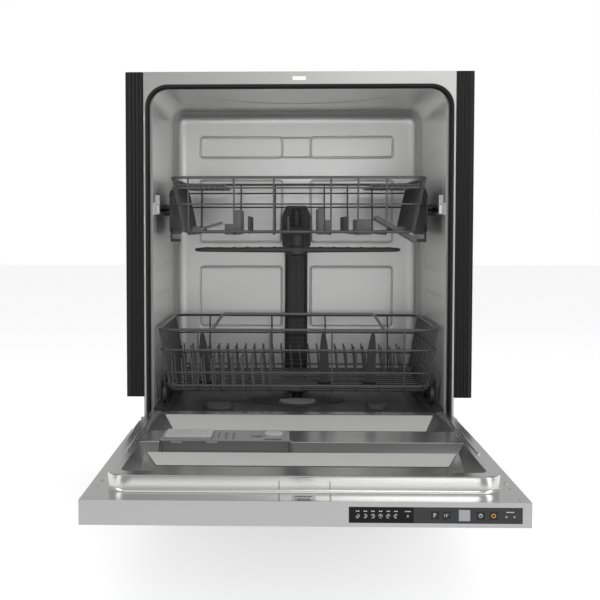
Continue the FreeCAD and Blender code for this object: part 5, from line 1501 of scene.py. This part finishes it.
def build_console():
    """Dark window, printed symbols, lamps and key rings of the control strip."""
    corner, far = low("control_console"), high("control_console")
    y = corner.y
    middle = (corner.z + far.z) / 2
    bm = bmesh.new()
    edge = 143.7 * MM
    outline = [(corner.x + 0.3 * MM, corner.z + 0.3 * MM), (edge, corner.z + 0.3 * MM),
               (edge, far.z - 0.3 * MM), (corner.x + 0.3 * MM, far.z - 0.3 * MM)]
    loop = rounded_loop(outline, [1.2 * MM, 0.2 * MM, 0.2 * MM, 1.2 * MM], 4)
    add_loft(bm, [[(p.x, depth, p.y) for p in loop]
                  for depth in (y - 0.06 * MM, y + 0.3 * MM)])
    mesh = mesh_from_bmesh("strip_window", bm, merge=0)
    new_object("strip_window", mesh, [finish("strip_dark")], "door")
    bm = bmesh.new()
    face = y - 0.06 * MM
    icon_z = middle - 1.2 * MM
    for k in range(6):
        x = (70.2 + k * 10.05) * MM
        symbol_bar(bm, x - 2.2 * MM, x - 0.5 * MM, middle + 4.4 * MM, middle + 5.6 * MM, face)
        symbol_bar(bm, x + 0.3 * MM, x + 2.2 * MM, middle + 4.4 * MM, middle + 5.6 * MM, face)
        symbol_ring(bm, x, icon_z, face, 2.6 * MM, 0.5 * MM, 18, 200 + k * 40, 240)
        symbol_bar(bm, x - 1.6 * MM, x + 1.2 * MM, icon_z - 2.9 * MM, icon_z - 2.4 * MM, face)
        if k % 2:
            symbol_bar(bm, x - 0.4 * MM, x + 0.4 * MM, icon_z - 0.8 * MM, icon_z + 1.2 * MM, face)
        else:
            symbol_bar(bm, x - 1.2 * MM, x + 1.2 * MM, icon_z - 0.3 * MM, icon_z + 0.4 * MM, face)
    x = 135.9 * MM
    for dx in (-3.6, -1.6, 0.4, 2.4):
        symbol_bar(bm, x + dx * MM, x + (dx + 1.3) * MM, middle + 4.4 * MM, middle + 5.5 * MM,
                   face)
    for dx in (-2.0, 2.0):
        symbol_ring(bm, x + dx * MM, icon_z, face, 1.9 * MM, 0.45 * MM, 14,
                    -70 if dx < 0 else 110, 140)
    lamp_x = 269.6 * MM
    for dx in (-5.2, -2.6, 0.0, 2.6):
        symbol_bar(bm, lamp_x + dx * MM, lamp_x + (dx + 2.0) * MM, middle + 4.2 * MM,
                   middle + 5.3 * MM, y)
    mesh = mesh_from_bmesh("strip_print", bm, merge=0)
    new_object("strip_print", mesh, [finish("print_white")], "door",
               smooth=False)
    bm = bmesh.new()
    for x in (264.4 * MM, 274.9 * MM):
        add_lathe(bm, [(0, -0.3 * MM), (1.5 * MM, -0.3 * MM), (1.4 * MM, 0.1 * MM),
                       (0, 0.25 * MM)], (x, y - 0.1 * MM, middle - 1.4 * MM), "Y", 20)
    mesh = mesh_from_bmesh("strip_lamps", bm, merge=0)
    new_object("strip_lamps", mesh, [finish("grey_plastic")], "door")
    build_key_symbols()


def build_key_symbols():
    """Printed symbols that travel with the keys."""
    looks = {"button_program": "key_program", "button_half_load": "key_half_load",
             "button_delay": "key_delay", "button_power": "key_power"}
    for node, body in looks.items():
        corner, far = low(node), high(node)
        x, z, y = (corner.x + far.x) / 2, (corner.z + far.z) / 2, corner.y
        bm = bmesh.new()
        inks = [finish("print_white")]
        if node == "button_program":
            symbol_bar(bm, x - 1.9 * MM, x - 1.1 * MM, z - 2.8 * MM, z + 2.8 * MM, y)
            symbol_ring(bm, x - 0.6 * MM, z + 1.2 * MM, y, 1.9 * MM, 0.75 * MM, 18, -90, 180)
        elif node == "button_half_load":
            symbol_bar(bm, x - 2.8 * MM, x - 2.2 * MM, z - 2 * MM, z + 2 * MM, y)
            symbol_bar(bm, x - 0.3 * MM, x + 0.3 * MM, z - 2 * MM, z + 2 * MM, y)
            symbol_ring(bm, x + 1.6 * MM, z, y, 1.6 * MM, 0.45 * MM, 16, 30, 230)
        elif node == "button_delay":
            symbol_ring(bm, x, z, y, 2.7 * MM, 0.5 * MM, 24)
            symbol_bar(bm, x - 0.3 * MM, x + 0.3 * MM, z, z + 1.8 * MM, y)
            symbol_bar(bm, x, x + 1.4 * MM, z - 0.3 * MM, z + 0.3 * MM, y)
        else:
            inks = [finish("print_amber")]
            symbol_ring(bm, x, z, y, 2.9 * MM, 0.8 * MM, 24, 120, 300)
            symbol_bar(bm, x - 0.4 * MM, x + 0.4 * MM, z + 0.8 * MM, z + 3.4 * MM, y)
        mesh = mesh_from_bmesh(node + "_symbol", bm, merge=0)
        new_object(node + "_symbol", mesh, inks, body, smooth=False)


# Finishes of the CAD parts that keep their shape

KEPT = {
    "front_flange": "frame_steel", "tub_floor": "tub_plastic", "worktop_brackets": "zinc",
    "hinge_brackets": "zinc", "hinge_arms": "zinc", "base_tray": "base_plastic",
    "door_springs": "spring_steel", "sump": "black_plastic", "filter_plate": "filter_steel",
    "coarse_filter": "grey_plastic", "circulation_pump": "black_plastic",
    "drain_pump": "grey_plastic", "water_softener": "white_plastic", "salt_cap": "dull_plastic",
    "float_dome": "dull_plastic", "inlet_valve": "white_plastic", "terminal_box":
    "black_plastic", "upper_feed_pipe": "duct_plastic", "rail_holders": "light_plastic",
    "rail_slides": "liner_steel", "door_outer_panel": "door_steel",
    "door_insulation": "bitumen", "control_console": "strip_grey", "control_display": "display",
    "latch_case": "zinc", "latch_hook": "spring_steel", "button_program": "key_plastic",
    "button_half_load": "key_plastic", "button_delay": "key_plastic",
    "button_power": "key_plastic", "foot_front_left": "black_plastic",
    "foot_front_right": "black_plastic", "foot_rear_left": "black_plastic",
    "foot_rear_right": "black_plastic",
}


def coat_kept_nodes():
    for node, key in KEPT.items():
        part = bpy.data.objects[node]
        if not part.material_slots:
            part.data.materials.append(finish(key))
        for place in part.material_slots:
            place.material = finish(key)


# Stage

def area_light(name, place, aim, size_x, size_y, power, colour=(1, 1, 1)):
    light = bpy.data.lights.new(name, "AREA")
    light.shape = "RECTANGLE"
    light.size, light.size_y = size_x, size_y
    light.energy = power
    light.color = colour
    lamp = bpy.data.objects.new(name, light)
    bpy.context.scene.collection.objects.link(lamp)
    lamp.location = place
    lamp.rotation_euler = (Vector(aim) - Vector(place)).to_track_quat("-Z", "Y").to_euler()
    return lamp


def build_stage():
    stage = sizes("stage_sizes")
    scene = bpy.context.scene
    bpy.ops.mesh.primitive_plane_add(size=30)
    floor = bpy.context.object
    floor.name = "studio_floor"
    made = surface("studio floor", tuple(stage.floor_colour), 0.01, 0.9, 0.02, 0.0, (1, 1, 1),
                   0.02, (30, 30, 30), specular=0.1)
    glow = made.node_tree.nodes["Principled BSDF"]
    glow.inputs["Emission Color"].default_value = (1, 1, 1, 1)
    glow.inputs["Emission Strength"].default_value = stage.floor_glow
    floor.data.materials.append(made)
    lamps = [
        area_light("overhead", (0, -0.6, 2.6), (0, 0, 0.4), 4.0, 3.2, stage.key_power),
        area_light("front", (0.9, -3.4, 1.6), (0, 0.1, 0.45), 1.6, 1.2, 14),
        area_light("left", (-2.6, -1.2, 1.5), (0, 0, 0.4), 0.9, 1.8, 9),
        area_light("right", (2.6, -1.2, 1.5), (0, 0, 0.4), 0.9, 1.8, 15),
    ]
    world = scene.world or bpy.data.worlds.new("World")
    scene.world = world
    world.use_nodes = True
    nodes, links = world.node_tree.nodes, world.node_tree.links
    sky = nodes["Background"]
    sky.inputs["Color"].default_value = (1, 1, 1, 1)
    path = nodes.new("ShaderNodeLightPath")
    fill = nodes.new("ShaderNodeMapRange")
    fill.inputs["To Min"].default_value = stage.fill
    fill.inputs["To Max"].default_value = 1.0
    links.new(path.outputs["Is Camera Ray"], fill.inputs["Value"])
    links.new(fill.outputs["Result"], sky.inputs["Strength"])
    scene.view_settings.view_transform = "Standard"
    camera = bpy.data.cameras.new("camera")
    camera.lens = stage.lens
    camera.sensor_width = 36
    camera.shift_x = 0.0917
    camera.shift_y = -0.0058
    eye = bpy.data.objects.new("camera", camera)
    scene.collection.objects.link(eye)
    eye.location = (-26.8 * MM, -2164.6 * MM, 535.6 * MM)
    eye.rotation_euler = (math.radians(90 - 3.268), 0, math.radians(1.83))
    scene.camera = eye


# Operators and panel

GROUPS = {
    "tub": ("Tub and frame", "Pressed tub, seal, side strips and mats",
            [build_tub_wrapper, build_tub_back, build_gasket, build_side_strips,
             build_frame_trim, build_jacket]),
    "racks": ("Racks", "Wire baskets, shelves, tines and wheels",
              [build_upper_rack, build_shelves, build_lower_rack, build_tines, build_wheels,
               build_brackets]),
    "spray": ("Spray system", "Water duct and spray arms", [build_duct, build_spray_arms]),
    "door": ("Door", "Inner pressing, dispenser and control strip",
             [build_door_liner, build_dispenser, build_console]),
    "finishes": ("Finishes", "Materials of the parts that keep their shape",
                 [coat_kept_nodes]),
    "stage": ("Stage", "Floor, lights and camera", [build_stage]),
}


class GroupOperator(bpy.types.Operator):
    """Build a group of pieces"""
    bl_options = {"REGISTER", "UNDO"}
    group = ""

    def execute(self, context):
        for build in GROUPS[self.group][2]:
            build()
        return {"FINISHED"}


class TubOperator(GroupOperator):
    """Build the pressed tub, its seal, the side strips and the mats"""
    bl_idname = "dishwasher.tub"
    bl_label = "Build tub and frame"
    group = "tub"


class RacksOperator(GroupOperator):
    """Build the wire baskets, shelves, tines and wheels"""
    bl_idname = "dishwasher.racks"
    bl_label = "Build racks"
    group = "racks"


class SprayOperator(GroupOperator):
    """Build the water duct and the spray arms"""
    bl_idname = "dishwasher.spray"
    bl_label = "Build spray system"
    group = "spray"


class DoorOperator(GroupOperator):
    """Build the inner door, the dispenser and the control strip"""
    bl_idname = "dishwasher.door"
    bl_label = "Build door"
    group = "door"


class FinishesOperator(GroupOperator):
    """Give the parts that keep their shape their finishes"""
    bl_idname = "dishwasher.finishes"
    bl_label = "Apply finishes"
    group = "finishes"


class StageOperator(GroupOperator):
    """Set up the floor, the lights and the camera"""
    bl_idname = "dishwasher.stage"
    bl_label = "Set up stage"
    group = "stage"


class DishwasherPanel(bpy.types.Panel):
    """Sizes and build steps of the dishwasher"""
    bl_idname = "VIEW3D_PT_dishwasher"
    bl_label = "Dishwasher"
    bl_space_type = "VIEW_3D"
    bl_region_type = "UI"
    bl_category = "Dishwasher"

    def draw(self, context):
        for group in ("wire_sizes", "tub_sizes", "stage_sizes"):
            box = self.layout.box()
            for name in sizes(group).__annotations__:
                box.prop(sizes(group), name)
        for step in STEPS:
            self.layout.operator(step.bl_idname)


STEPS = (TubOperator, RacksOperator, SprayOperator, DoorOperator, FinishesOperator,
         StageOperator)
CLASSES = (WireSizes, TubSizes, StageSizes) + STEPS + (DishwasherPanel,)


def register():
    for each in CLASSES:
        bpy.utils.register_class(each)
    bpy.types.Scene.wire_sizes = bpy.props.PointerProperty(type=WireSizes)
    bpy.types.Scene.tub_sizes = bpy.props.PointerProperty(type=TubSizes)
    bpy.types.Scene.stage_sizes = bpy.props.PointerProperty(type=StageSizes)


def unregister():
    for name in ("wire_sizes", "tub_sizes", "stage_sizes"):
        delattr(bpy.types.Scene, name)
    for each in reversed(CLASSES):
        bpy.utils.unregister_class(each)


def main():
    register()
    bpy.ops.dishwasher.tub()
    bpy.ops.dishwasher.racks()
    bpy.ops.dishwasher.spray()
    bpy.ops.dishwasher.door()
    bpy.ops.dishwasher.finishes()
    bpy.ops.dishwasher.stage()


if __name__ == "__main__":
    main()
